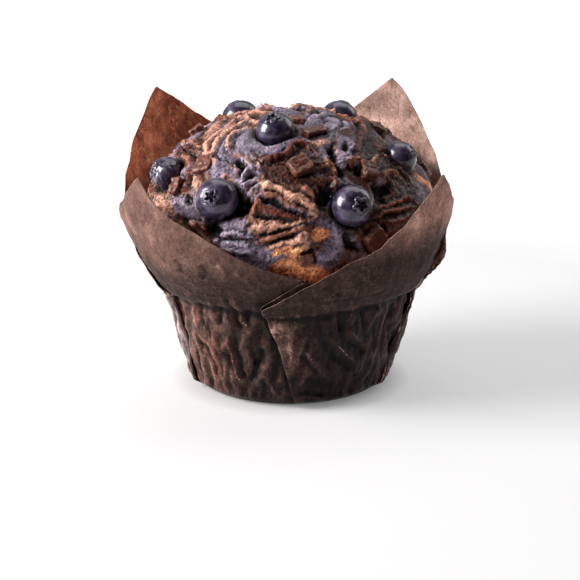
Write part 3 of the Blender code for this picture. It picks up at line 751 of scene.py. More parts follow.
def make_berry(name, index):
    az, pol, off, radius, face_az, face_el = BERRIES[name]
    rng = np.random.default_rng(300 + index)
    pts, bloom, dark, rows, cols = berry_points(radius, rng, name == "berry_left")
    centre, _ = crown_point(az, pol, off)
    spin = direction(face_az, face_el).to_track_quat("Z", "Y").to_matrix()
    if name == "berry_left":
        pts *= np.array([1.12, 0.92, 1.0])
    pts = pts @ np.array(spin).T + centre
    quads = grid_quads(rows, cols, closed=True)[:, ::-1]
    n = rows * cols
    verts = np.vstack([pts, pts[:cols].mean(0), pts[-cols:].mean(0)])
    ring = np.arange(cols)
    tris = np.vstack([np.stack([ring, np.roll(ring, -1), np.full(cols, n)], 1)[:, ::-1][:, [0, 1, 2]], np.stack([n - cols + ring, np.full(cols, n + 1), n - cols + np.roll(ring, -1)], 1)])
    return make_piece(name + "_skin", verts, quads, tris, {"bloom": np.append(bloom, [0.1, 0.5]), "pit": np.append(dark, [1, 0])})


def berry_material():
    m = Shader("berry_skin")
    bloom = m.attribute("bloom").outputs["Fac"]
    pit = m.attribute("pit").outputs["Fac"]
    patch = m.math("MULTIPLY", bloom, m.range(m.noise(330, 5, 0.65, distortion=0.5), 0.4, 0.62, 0.05, 1.0))
    skin = m.mix(m.noise(300, 2), tuple(srgb(19, 12, 27)), tuple(srgb(40, 29, 56)))
    colour = m.mix(m.math("MULTIPLY", patch, 0.62), skin, tuple(srgb(112, 100, 130)))
    colour = m.mix(m.range(m.voronoi(900), 0.0, 0.12, 0.5, 0.0), colour, tuple(srgb(30, 20, 30)))
    colour = m.mix(pit, colour, tuple(srgb(18, 12, 18)))
    rough = m.range(patch, 0.0, 0.9, 0.24, 0.5)
    normal = m.bump(m.noise(1800, 3, 0.6), 0.18, 0.0002)
    return m.finish(Base_Color=colour, Roughness=rough, Normal=normal, Specular_IOR_Level=0.3, Coat_Weight=0.6, Coat_Roughness=0.08)


# ---- chocolate chunks ----------------------------------------------------------------------------
def make_chunk(name, index):
    az, pol, off, wide, deep, thick, turn = CHUNKS[name]
    rng = np.random.default_rng(700 + index)
    seed = int(rng.integers(1, 9999))
    k = 22
    u, v = np.meshgrid(np.linspace(-1, 1, k), np.linspace(-1, 1, k), indexing="ij")
    one = np.ones_like(u)
    verts, quads = [], []
    for axis in range(3):
        for sign in (-1, 1):
            face = [u, v]
            face.insert(axis, one * sign)
            pts = np.stack(face, -1).reshape(-1, 3)
            q = grid_quads(k, k, offset=len(verts) * k * k)
            flip = (sign > 0) == (axis != 1)
            quads.append(q if not flip else q[:, ::-1])
            verts.append(pts)
    cube = np.vstack(verts)
    round_by = 14.0 if name in ("chunk_front", "chunk_top_bar", "chunk_right") else 7.0
    unit = cube / (np.abs(cube) ** round_by).sum(1, keepdims=True) ** (1 / round_by)
    size = np.array([wide, deep, thick]) / 2
    pts = unit * size
    pts[:, :2] *= (1 - 0.06 * unit[:, 2:3])
    chips = fbm(pts * 0.6 + seed, 3, seed) * 0.62 + 0.16 * perlin(pts * 1.7 + seed, seed + 4)
    pts += unit / np.linalg.norm(unit, axis=1, keepdims=True) * chips[:, None]
    edge = np.sort(np.abs(cube), axis=1)[:, 1]
    centre, normal = crown_point(az, pol, off)
    aim = normal.to_track_quat("Z", "Y").to_matrix() @ Matrix.Rotation(math.radians(turn), 3, "Z")
    world = pts @ np.array(aim).T + centre
    obj = make_piece(name + "_block", world, np.vstack(quads), (), {"edge": step(0.7, 1.0, edge)})
    return obj


def weld(obj):
    """Joins the six faces of a chunk along their shared edges."""
    mod = obj.modifiers.new("weld", "WELD")
    mod.merge_threshold = 0.00002
    deps = bpy.context.evaluated_depsgraph_get()
    done = bpy.data.meshes.new_from_object(obj.evaluated_get(deps))
    obj.modifiers.clear()
    old = obj.data
    obj.data = done
    bpy.data.meshes.remove(old)
    obj.data.shade_smooth()


def chocolate_material():
    m = Shader("chocolate")
    edge = m.attribute("edge").outputs["Fac"]
    tone = m.noise(380, 4, 0.6)
    colour = m.mix(m.range(tone, 0.3, 0.7), tuple(srgb(74, 36, 26)), tuple(srgb(112, 62, 46)))
    worn = m.math("MULTIPLY", edge, m.range(m.noise(900, 3), 0.4, 0.6))
    colour = m.mix(m.math("MULTIPLY", worn, 0.5), colour, tuple(srgb(168, 116, 96)))
    # small pits painted darker: painted shade in them
    colour = m.mix(m.range(m.voronoi(700), 0.05, 0.2, 0.7, 0.0), colour, tuple(srgb(60, 30, 26)))
    height = m.math("ADD", m.noise(1100, 4, 0.6), m.math("MULTIPLY", m.range(m.voronoi(700), 0.05, 0.2), 0.6))
    return m.finish(Base_Color=colour, Roughness=m.range(tone, 0.3, 0.7, 0.34, 0.55), Normal=m.bump(height, 0.45, 0.0003), Specular_IOR_Level=0.3, Coat_Weight=0.15, Coat_Roughness=0.2)

# ---- the paper case ----------------------------------------------------------------------------
# One square sheet folded into four leaves with a pleat between each two. A leaf is described by
# stations along its path: azimuth at the floor, at the tin's rim and at its top, how far it lies off
# the sheet below, its top edge (None: from the leaf's edge table), and its spacing in columns.
PAPER = 0.16
EDGE_FL = [(-112, 40), (-100, 45.5), (-88, 48.5), (-80, 51.8), (-64, 58.8), (-55.6, 63.8), (-50.3, 67), (-48.6, 64.6), (-47, 62), (-43, 58.9), (-39, 56.6), (-34, 54.7), (-29, 52.9), (-23, 50.2), (-18, 47.6), (-13, 45.8), (-9, 44.5), (-3, 42.7), (5, 41)]
EDGE_FR = [(-11.5, 33.2), (-2, 37.1), (6.4, 40.3), (13.6, 43.6), (20, 46.3), (25, 47.6), (30, 49.5), (32.5, 52.4), (37, 54.9), (41, 58.6), (45, 62), (48, 65), (50.3, 68), (55, 64.7), (62.7, 59.7), (75, 56), (90, 52), (106, 50)]
EDGE_BR = [(97, 40), (99.5, 46), (101.5, 51), (104, 56), (109, 61.5), (112.5, 64.9), (117, 69), (121, 72.4), (126, 78), (131, 81.8), (135.8, 84.5), (142, 81.3), (148, 77.4), (154.6, 73.9), (165, 66), (180, 57.5), (200, 53)]
EDGE_BL = [(-176, 52), (-166, 58), (-152.6, 67.8), (-144, 72.8), (-136.6, 77.5), (-128.8, 81.7), (-125.4, 78.7), (-122, 74.8), (-118, 70.8), (-113, 66), (-110, 61.9), (-105, 58.2), (-101, 53), (-97, 44), (-94, 37.5), (-90, 31.8), (-78, 31.0), (-70, 30.9), (-62, 30.8)]
LEAVES = {
    "paper_front_left": (EDGE_FL, [(-100, -102, -108, -0.2, None, 0), (-74, -74, -80, 0.0, None, 22), (-50, -50, -50, 0.0, None, 32), (-24, -24, -24, 0.0, None, 34), (2, -6, -8, 0.0, None, 24), (20, 9, 5, 0.0, 41, 18)]),
    "paper_front_right": (EDGE_FR, [(20, 9, 5, 0.45, 41, 0), (4.6, -9.7, -10.9, 0.5, 33.3, 16), (3.9, -10.4, -11.6, 0.66, 33.2, 2), (3.7, -10.6, -11.8, 1.0, 33.2, 2), (3.9, -10.4, -11.6, 1.36, 33.2, 2), (4.6, -9.7, -10.9, 1.52, 33.4, 2), (10, -3, -3, 1.5, None, 10), (28, 20, 20, 0.3, None, 28), (50, 50, 50, 0.0, None, 34), (62, 70, 72, 0.0, None, 26), (84, 96, 106, -0.2, None, 30)]),
    "paper_back_right": (EDGE_BR, [(77, 92, 112, 0.45, 47, 0), (62.8, 73.8, 98.8, 0.5, 40.2, 14), (62.1, 73.1, 98.1, 0.6, 40, 2), (61.9, 72.9, 97.9, 0.8, 40, 2), (62.1, 73.1, 98.1, 1.0, 40, 2), (62.8, 73.8, 98.8, 1.1, 40.4, 2), (72, 83, 103, 1.1, None, 11), (104, 108, 118, 0.3, None, 24), (136, 136, 136, 0.0, None, 34), (165, 165, 165, 0.0, None, 34), (200, 198, 196, 0.0, None, 30)]),
    "paper_back_left": (EDGE_BL, [(-160, -162, -164, 0.45, 56, 0), (-171.4, -175.4, -175.4, 0.5, 52.2, 14), (-172.1, -176.1, -176.1, 0.58, 52, 2), (-172.3, -176.3, -176.3, 0.74, 52, 2), (-172.1, -176.1, -176.1, 0.9, 52, 2), (-171.4, -175.4, -175.4, 0.98, 52.3, 2), (-164, -166, -166, 1.0, None, 11), (-150, -150, -150, 0.3, None, 18), (-129, -129, -129, 0.0, None, 28), (-100, -100, -104, 0.3, None, 30), (-76, -73, -80, 1.0, None, 24), (-66.8, -63.8, -63, 0.96, 30.8, 12), (-66.1, -63.1, -62.3, 0.88, 30.8, 2), (-65.9, -62.9, -62.1, 0.72, 30.8, 2), (-66.1, -63.1, -62.3, 0.56, 30.8, 2), (-66.8, -63.8, -63, 0.48, 30.8, 2), (-84, -80, -86, 0.45, 50, 16)]),
}
# where each leaf shows on the cup's wall: the wrinkles of the others don't reach there
SHOWS = {"paper_front_left": (-66, 3), "paper_front_right": (-12, 74), "paper_back_right": (62, 190), "paper_back_left": (-178, -62)}
# creases and ridges pressed into the paper: half width, height, warm painted highlight along it (0 or 1), places as
# azimuth and height
WRINKLES = [
    (0.5, -0.25, 0, [(-45, 37.3), (-39, 35.6), (-30, 35.0), (-23, 35.5), (-17, 35.0), (-12, 34.6)]),
    (0.9, -0.55, 0, [(8, 35.9), (14, 34.9), (24, 34.6), (35, 35.1), (39, 37.0)]),
    (0.7, -1.0, 0, [(-26, 35.2), (-24, 31.9), (-24, 28.0), (-23, 25.0), (-20, 23.0)]),
    (1.0, 0.9, 0, [(-23, 35.2), (-22, 31.5), (-21, 27.7), (-19, 25.3), (-21, 21.5)]),
    (1.3, 0.8, 0, [(-12, 32.2), (-15, 27.5), (-19, 23.7), (-23, 19.7), (-25, 16.4)]),
    (0.55, 0.8, 1, [(-31, 22.2), (-31, 15.9), (-29, 10.8), (-26, 6.2)]),
    (0.7, -0.8, 0, [(-27, 22.5), (-27, 16.8), (-25, 11.7), (-23, 7.0)]),
    (0.8, 0.8, 0, [(-40, 35.8), (-49, 27.6), (-50, 21.2)]),
    (0.6, -0.7, 0, [(-36, 35.4), (-44, 28.3), (-45, 22.4)]),
    (0.7, 0.6, 1, [(-54, 21.2), (-49, 18.8), (-44, 17.2), (-40, 12.7), (-40, 6.9)]),
    (0.6, -0.6, 0, [(-54, 17.0), (-47, 15.4), (-44, 11.1), (-44, 5.2)]),
    (0.9, 0.6, 0, [(-33, 33.5), (-37, 28.7), (-38, 24.5)]),
    (0.8, -0.6, 0, [(-29, 34.0), (-32, 28.7), (-34, 23.9)]),
    (0.6, 0.6, 0, [(-53, 13.0), (-54, 7.5), (-53, 2.3)]),
    (0.5, -0.6, 0, [(-56, 14.6), (-58, 7.9), (-58, 2.6)]),
    (1.2, 0.8, 0, [(-8, 18.0), (-12, 12.0), (-16, 8.6), (-20, 5.6)]),
    (1.0, -0.9, 0, [(-13, 19.4), (-15, 15.0), (-19, 10.5), (-22, 7.1)]),
    (0.9, -0.7, 0, [(-5, 14.9), (-6, 10.0), (-9, 5.6)]),
    (1.4, 0.7, 0, [(-7, 12.2), (-5, 9.0), (-4, 6.3)]),
    (0.7, 0.5, 0, [(6, 19.6), (10, 16.7), (16, 12.3)]),
    (0.7, -0.6, 0, [(4, 17.5), (9, 14.8), (13, 10.3)]),
    (0.6, 0.35, 0, [(-6, 22.7), (-2, 24.1), (4, 22.8)]),
    (0.9, 0.8, 0, [(18, 23.2), (23, 19.2), (31, 14.9), (36, 12.1)]),
    (0.9, -0.8, 0, [(14, 22.4), (20, 16.8), (27, 13.1), (34, 10.2)]),
    (0.8, -0.9, 0, [(22, 30.2), (23, 27.0), (25, 23.2)]),
    (0.7, -1.0, 0, [(31, 32.2), (35, 26.9), (37, 22.0)]),
    (1.6, 0.7, 0, [(36, 29.3), (42, 28.6), (46, 26.5)]),
    (1.1, 0.8, 0, [(27, 24.1), (32, 21.5), (37, 19.1)]),
    (0.9, -0.8, 0, [(27, 20.4), (33, 17.8), (41, 14.6)]),
    (0.9, 0.6, 0, [(25, 33.2), (28, 28.6), (29, 25.0)]),
    (2.6, -0.7, 0, [(7, 10.0), (16, 7.5), (26, 6.2)]),
    (0.8, 0.5, 0, [(42, 16.7), (47, 11.8), (46, 7.6)]),
    (0.6, 0.5, 0, [(3, 4.4), (11, 3.9), (21, 2.7), (28, 2.3)]),
    (0.6, -0.4, 0, [(5, 5.5), (12, 4.9), (21, 4.0)]),
    (1.6, -0.7, 0, [(-31, 45.0), (-30, 42.5), (-32, 39.8)]),
    (1.2, 0.5, 0, [(-26, 45.5), (-23, 43.2), (-24, 39.5)]),
    (1.4, -0.6, 0, [(-41, 45.3), (-40, 42.9), (-40, 40.4)]),
    (1.6, -0.5, 0, [(11, 40.2), (16, 37.4), (20, 36.6)]),
    (1.0, 0.5, 0, [(23, 43.2), (28, 40.2), (33, 37.5)]),
    (1.2, 0.5, 0, [(-20, 43.4), (-15, 40.6), (-13, 38.0)]),
]


def wall_point(az, z):
    return at(az, case_radius(np.asarray(float(z)), np.asarray(float(az))), z)


def sheet_relief(base, az, z, name):
    """How far the paper stands off its plain shape, and the warm painted highlight along its sharpest creases."""
    seed = 200 + 13 * list(LEAVES).index(name)
    wall = step(33, 27, z)
    low = step(0.3, 4.0, z)
    wob = base + 0.5 * vector_noise(base * 0.25, seed) + 0.25 * vector_noise(base * 0.8, seed + 3)
    tall = np.stack([wob[:, 0], wob[:, 1], wob[:, 2] * 0.34], 1)
    f1, f2 = cells(tall * 0.17, seed + 5)
    g1, g2 = cells(tall * 0.36 + 5, seed + 6)
    crumple = 1.35 * (0.42 - f1 ** 2) + 0.62 * (0.4 - g1 ** 2) + 0.16 * (0.4 - cells(wob * np.array([0.8, 0.8, 0.42]), seed + 8)[0])
    ridged = lambda q, key: 0.42 - 1.5 * np.abs(perlin(q, key))
    crumple = 0.55 * crumple + 1.25 * ridged(tall * 0.16 + 3, seed + 31) + 0.75 * ridged(tall * 0.33 + 8, seed + 32) + 0.3 * ridged(wob * np.array([0.7, 0.7, 0.4]), seed + 33)
    soft = fbm(base * 0.055, 2, seed + 7) * 1.0 + 0.34 * fbm(base * 0.17, 2, seed + 9)
    leaf = soft + 0.14 * (0.4 - cells(wob * 0.23, seed + 11)[0] ** 2) + 0.05 * fbm(base * 0.9, 2, seed + 12)
    relief = wall * low * crumple * 0.85 + (1 - wall) * leaf * 0.8
    # fine flutes where the flare is gathered towards the pleats
    side = np.abs(wrap(az))
    gather = np.exp(-((side - 78) / 13.0) ** 2) * step(30.5, 34, z) * step(66, 44, z)
    gather = np.maximum(gather, 0.8 * np.exp(-((side - 172) / 13.0) ** 2) * step(30.5, 34, z) * step(60, 42, z))
    relief += 0.26 * gather * np.sin(np.radians(az) * 150 + 2.2 * perlin(base * 0.13, seed + 14) + 0.5 * az)
    # small puckers where the wall turns out into the flare, and where it turns in at the foot
    pucker = np.exp(-((z - 31.5) / 4.5) ** 2)
    relief += 0.30 * pucker * perlin(np.stack([np.radians(az) * 22, z * 0.09, np.zeros_like(z)], 1), seed + 16)
    foot = np.exp(-((z - 2.5) / 4.0) ** 2)
    relief += 0.30 * foot * low * perlin(np.stack([np.radians(az) * 30, z * 0.12, np.zeros_like(z)], 1), seed + 17)
    warm = np.zeros(len(z))
    lo, hi = SHOWS[name]
    for width, height, tint, places in WRINKLES:
        middle = places[len(places) // 2][0]
        if not lo <= middle <= hi or (name == "paper_front_left" and middle > -7 and places[0][1] < 30) or (name == "paper_front_right" and middle < -7):
            continue
        line, _ = catmull(np.array([wall_point(a, h) for a, h in places]), 6 * len(places))
        idx, dist, across, place = near_path(wob, line, 3 * width + 0.6)
        taper = np.clip(np.sin(math.pi * np.clip(place, 0.02, 0.98)) * 2.0, 0.15, 1.0)
        relief[idx] *= 1 - 0.5 * taper * np.exp(-(dist / (1.6 * width)) ** 2)
        relief[idx] += (0.75 + 0.75 * wall[idx]) * height * taper * np.exp(-(dist / (0.8 * width)) ** 1.05)
        warm[idx] = np.maximum(warm[idx], tint * taper * np.exp(-(dist / (0.8 * width)) ** 2))
    # the warm painted highlight also runs along the cell borders of the crumpled wall
    warm += 0.5 * wall * step(0.10, 0.0, f2 - f1) * step(0.1, 0.5, perlin(base * 0.1, seed + 19))
    lo_fade = step(-4.0, 1.5, wrap(az - lo))
    hi_fade = step(4.0, -1.5, wrap(az - hi))
    shown = np.minimum(lo_fade, hi_fade)
    hidden = (1 - shown) * step(40, 30, z)
    lip = step(-4, 2, wrap(az - lo)) * step(4, -2, wrap(az - hi))
    relief += lip * (0.34 * np.exp(-((z - 31.6) / 1.1) ** 2) - 0.34 * np.exp(-((z - 29.2) / 1.2) ** 2)) * (1 + 0.4 * perlin(base * 0.12, seed + 23))
    relief = relief * (1 - hidden) - 0.45 * hidden
    return np.clip(relief, -1.5, 1.3), np.clip(warm, 0, 1)


def grease_and_shade_at(name, base, az, z):
    """How far the fat has crept up the flare from the tin's rim; the darker colour it gives also stands for painted
    shade on the lower flare.
    """
    creep = 44 + 7 * fbm(base * 0.05, 3, 501) + 3 * perlin(base * 0.2, 503)
    if name == "paper_front_right":
        creep = creep + 6
    if name in ("paper_back_left", "paper_back_right"):
        creep = creep + 4 * step(0.2, 0.8, np.abs(wrap(az)) / 100)
    return step(6, -6, z - creep)


def leaf_light_at(name, az, z, inside):
    """Painted light and shade: lighter and darker parts of each leaf, set for how the lamps fall on it."""
    azimuth = wrap(az)
    if name == "paper_front_left":
        outer = np.where(z > 31, 0.62 + 0.1 * step(56, 64, z), 0.62 + 1.35 * step(-24, -46, azimuth))
        return np.where(inside, 1.0, outer)
    if name == "paper_front_right":
        fold = azimuth - np.interp(z, [0, 30], [3.7, -10.6])
        panel = 0.36 + 1.5 * step(17, 3, fold) * step(6, 20, z) + 0.35 * step(38, 62, azimuth)
        outer = np.where(z > 31, 0.56 + 1.35 * step(42, 57, z), panel)
        return np.where(inside, 1.0, outer)
    if name == "paper_back_right":
        return np.where(inside, 0.6 + 0.95 * step(76, 62, z) + 0.5 * step(62, 52, z), 1.0)
    return np.where(inside, 0.42 + 1.2 * step(50, 62, z), 1.0)


def shade_at(name, az, z, off):
    """Painted shade: a dark seam where one leaf dives under the next, and a painted shadow under the crease where the
    wall turns out into the flare.
    """
    seams = {"paper_front_left": [(3.0, -11.2)], "paper_front_right": [(61.4, 73)], "paper_back_right": [], "paper_back_left": []}[name]
    dark = np.zeros(len(z))
    for low, high in seams:
        line = np.interp(z, [0, 30, 33], [low, high, high - 1])
        gap = wrap(az - line) if name == "paper_front_left" else wrap(az - line)
        dark = np.maximum(dark, step(-3.4, -0.3, gap) * step(34.5, 33.0, z) * 0.85)
    under = np.exp(-((z - 29.3 - 0.5 * perlin(np.stack([np.radians(az) * 6, 0 * z, 0 * z], 1), 77)) / 0.8) ** 2)
    return np.maximum(dark, 0.75 * under)


def smooth(grid):
    """A height grid averaged with its neighbours."""
    wide = np.pad(grid, 1, mode="edge")
    return 0.4 * grid + 0.15 * (wide[:-2, 1:-1] + wide[2:, 1:-1] + wide[1:-1, :-2] + wide[1:-1, 2:])


def make_leaf(name):
    edge, stations = LEAVES[name]
    cols = []
    for (a, b) in zip(stations, stations[1:]):
        for k in range(b[5]):
            t = k / b[5]
            cols.append([x + (y - x) * t if x is not None and y is not None else None for x, y in zip(a[:5], b[:5])])
    cols.append(list(stations[-1][:5]))
    floor_az = np.array([c[0] for c in cols], dtype=float)
    rim_az = np.array([c[1] for c in cols], dtype=float)
    top_az = np.array([c[2] for c in cols], dtype=float)
    off = np.array([c[3] for c in cols], dtype=float)
    # top edge: fixed at pleats, from the table on the leaf, blended in the columns between
    fixed = np.array([np.nan if c[4] is None else c[4] for c in cols], dtype=float)
    top_z = np.where(np.isnan(fixed), table_at(edge, top_az), fixed)
    first_free = np.nonzero(np.isnan(fixed))[0]
    n = len(cols)
    zig = perlin(np.stack([top_az * 0.22, np.zeros(n), np.full(n, 3.0)], 1), 7) * 0.35 + perlin(np.stack([top_az * 0.8, np.zeros(n), np.full(n, 5.0)], 1), 8) * 0.12
    top_z = top_z + np.where(np.isnan(fixed), zig, 0.0)
    wall_rows, leaf_rows = 50, 78
    foot = [(24.2, 0.14), (25.4, 0.14), (26.2, 0.2), (26.9, 0.55), (27.5, 1.2)]
    rows = []
    for r, z in foot:
        rows.append((np.full(n, z), np.full(n, r)))
    for z in np.linspace(2.1, 30.6, wall_rows):
        rows.append((np.minimum(np.full(n, z), top_z), None))
    for k in range(1, leaf_rows + 1):
        t = k / leaf_rows
        rows.append((30.6 + (top_z - 30.6) * t, None))
    z = np.array([r[0] for r in rows])
    az = np.empty_like(z)
    for i in range(n):
        az[:, i] = np.interp(z[:, i], [0, 30, 36 if top_z[i] < 50 else 44], [floor_az[i], rim_az[i], top_az[i]])
    radius = case_radius(z, az)
    for k, (r, _) in enumerate(foot):
        radius[k] = r
    dr = case_radius(z + 0.7, az) - case_radius(z - 0.7, az)
    soft_dr = dr.copy()
    for _ in range(3):
        soft_dr[1:-1] = (soft_dr[:-2] + soft_dr[1:-1] + soft_dr[2:]) / 3
    nr, nz = 1.4, -soft_dr
    norm = np.hypot(nr, nz)
    nr, nz = nr / norm, nz / norm
    nz[:6] = 0
    nr[:6] = 1
    base = at(az.ravel(), radius.ravel(), z.ravel())
    relief, warm = sheet_relief(base, az.ravel(), z.ravel(), name)
    relief = relief.reshape(z.shape)
    if name in ("paper_front_right", "paper_back_right"):
        relief = relief - 1.3 * step(52, 68, az) * step(112, 98, az) * np.exp(-((z - 43.5) / 6.5) ** 2)
    broad, fine = relief, relief
    for k in range(36):
        broad = smooth(broad)
        fine = broad if k == 3 else fine
    # painted shade in the paper's creases and painted highlight on its ridges, used by the material
    ridge = np.clip(0.5 + 1.1 * (relief - fine) + 0.62 * (relief - broad), 0, 1)
    spread = 1 + 0.75 * step(24, 34, z) + 0.5 * step(36, 46, z)
    lift = off[None, :] * spread
    if name == "paper_back_right":
        lift = off[None, :] * (1 + 0.75 * step(24, 34, z)) * (1 - 0.6 * step(44, 56, z))
        lift += 3.0 * step(0.3, 0.9, off)[None, :] * step(30.5, 39, z) * step(50, 42, z) * step(116, 100, az)
    lift *= step(0.1, 1.2, z)
    move = relief + lift
    move[:5] *= np.array([0, 0, 0.1, 0.3, 0.6])[:, None]
    r = radius + move * nr
    h = z + move * nz
    grid = at(az.ravel(), r.ravel(), h.ravel()).reshape(len(rows), n, 3)
    grid[..., 2] = np.maximum(grid[..., 2], 0.13)
    du = np.gradient(grid, axis=1)
    dv = np.gradient(grid, axis=0)
    normal = np.cross(du, dv)
    normal /= np.maximum(np.linalg.norm(normal, axis=-1, keepdims=True), 1e-9)
    outward = at(az.ravel(), nr.ravel() if np.ndim(nr) else np.full(az.size, nr), nz.ravel()).reshape(grid.shape)
    out = grid + normal * PAPER / 2
    inn = grid - normal * PAPER / 2
    rows_n = len(rows)
    verts = np.vstack([out.reshape(-1, 3), inn.reshape(-1, 3)])
    m = rows_n * n
    quads = [grid_quads(rows_n, n), grid_quads(rows_n, n, offset=m)[:, ::-1]]
    loop = list(range(n)) + [k * n + n - 1 for k in range(1, rows_n)] + [(rows_n - 1) * n + k for k in range(n - 2, -1, -1)] + [k * n for k in range(rows_n - 2, 0, -1)]
    loop = np.array(loop)
    nxt = np.roll(loop, -1)
    quads.append(np.stack([loop, loop + m, nxt + m, nxt], 1))
    facing = np.sign((normal * outward).sum(-1)).ravel()
    inside = np.concatenate([facing < 0, facing > 0]).astype(float)
    to_edge = (top_z[None, :] - z).ravel()
    attributes = {
        "inside": inside,
        # the wall's darker soaked colour: real fat, and painted shade as well; less of it beside the front-right fold
        "wall": np.tile((step(35, 29, z) * (1 - 0.62 * (name == "paper_front_right") * step(22, 2, wrap(az - np.interp(z, [0, 30], [3.7, -10.6]))) * step(4, 24, z))).ravel(), 2),
        "warm": np.tile(warm, 2),
        "rim": np.tile(step(0.9, 0.1, to_edge), 2),
        "grease": np.tile(grease_and_shade_at(name, base, az.ravel(), z.ravel()), 2),
        # painted light: the inside of the back-left leaf glows orange as if lit through the paper from behind
        "glow": np.tile((step(40, 50, z) * (name == "paper_back_left")).ravel(), 2),
        # painted light and shade of each leaf
        "tone": np.concatenate([leaf_light_at(name, az.ravel(), z.ravel(), side < 0) for side in (facing, -facing)]),
        "ridge": np.tile(ridge.ravel(), 2),
        # a painted highlight on the back-left leaf's wall, at its far left
        "frost": np.tile((step(-104, -92, az) * step(-64, -70, az) * step(34, 30, z) * (name == "paper_back_left")).ravel(), 2),
        "shade": np.tile(shade_at(name, az.ravel(), z.ravel(), np.tile(off, len(rows))), 2),
    }
    return make_piece(name, verts, np.vstack(quads), (), attributes)


def make_foot():
    """The bottom of the case: a flat disc with pressed creases running out from the middle."""
    rows, cols = 22, 160
    r = np.linspace(1.0, 24.9, rows)
    a = np.linspace(0, 360, cols, endpoint=False)
    rr, aa = np.meshgrid(r, a, indexing="ij")
    p = at(aa.ravel(), rr.ravel(), 0.0 * rr.ravel())
    dent = 0.22 * np.abs(perlin(np.stack([np.radians(aa.ravel()) * 9, rr.ravel() * 0.05, np.zeros(aa.size)], 1), 401)) + 0.1 * np.abs(perlin(p * 0.2, 402))
    under = p + np.array([0, 0, 1.0]) * (0.02 + dent * step(24.5, 20, rr.ravel()))[:, None]
    over = under + np.array([0, 0, 0.3])
    verts = np.vstack([under, over, [[0, 0, 0.05]], [[0, 0, 0.4]]])
    m = rows * cols
    ring = np.arange(cols)
    nxt = np.roll(ring, -1)
    quads = np.vstack([grid_quads(rows, cols, closed=True)[:, ::-1], grid_quads(rows, cols, closed=True, offset=m), np.stack([m - cols + ring, m - cols + nxt, 2 * m - cols + nxt, 2 * m - cols + ring], 1)])
    tris = np.vstack([np.stack([ring, np.full(cols, 2 * m), nxt], 1)[:, ::-1][:, [1, 0, 2]], np.stack([m + ring, m + nxt, np.full(cols, 2 * m + 1)], 1)])
    one = np.ones(len(verts))
    return make_piece("paper_foot", verts, quads, tris, {"inside": 0 * one, "wall": one, "warm": 0 * one, "rim": 0 * one, "grease": one, "glow": 0 * one, "shade": 0 * one, "ridge": 0.5 * one, "frost": 0 * one, "tone": one})


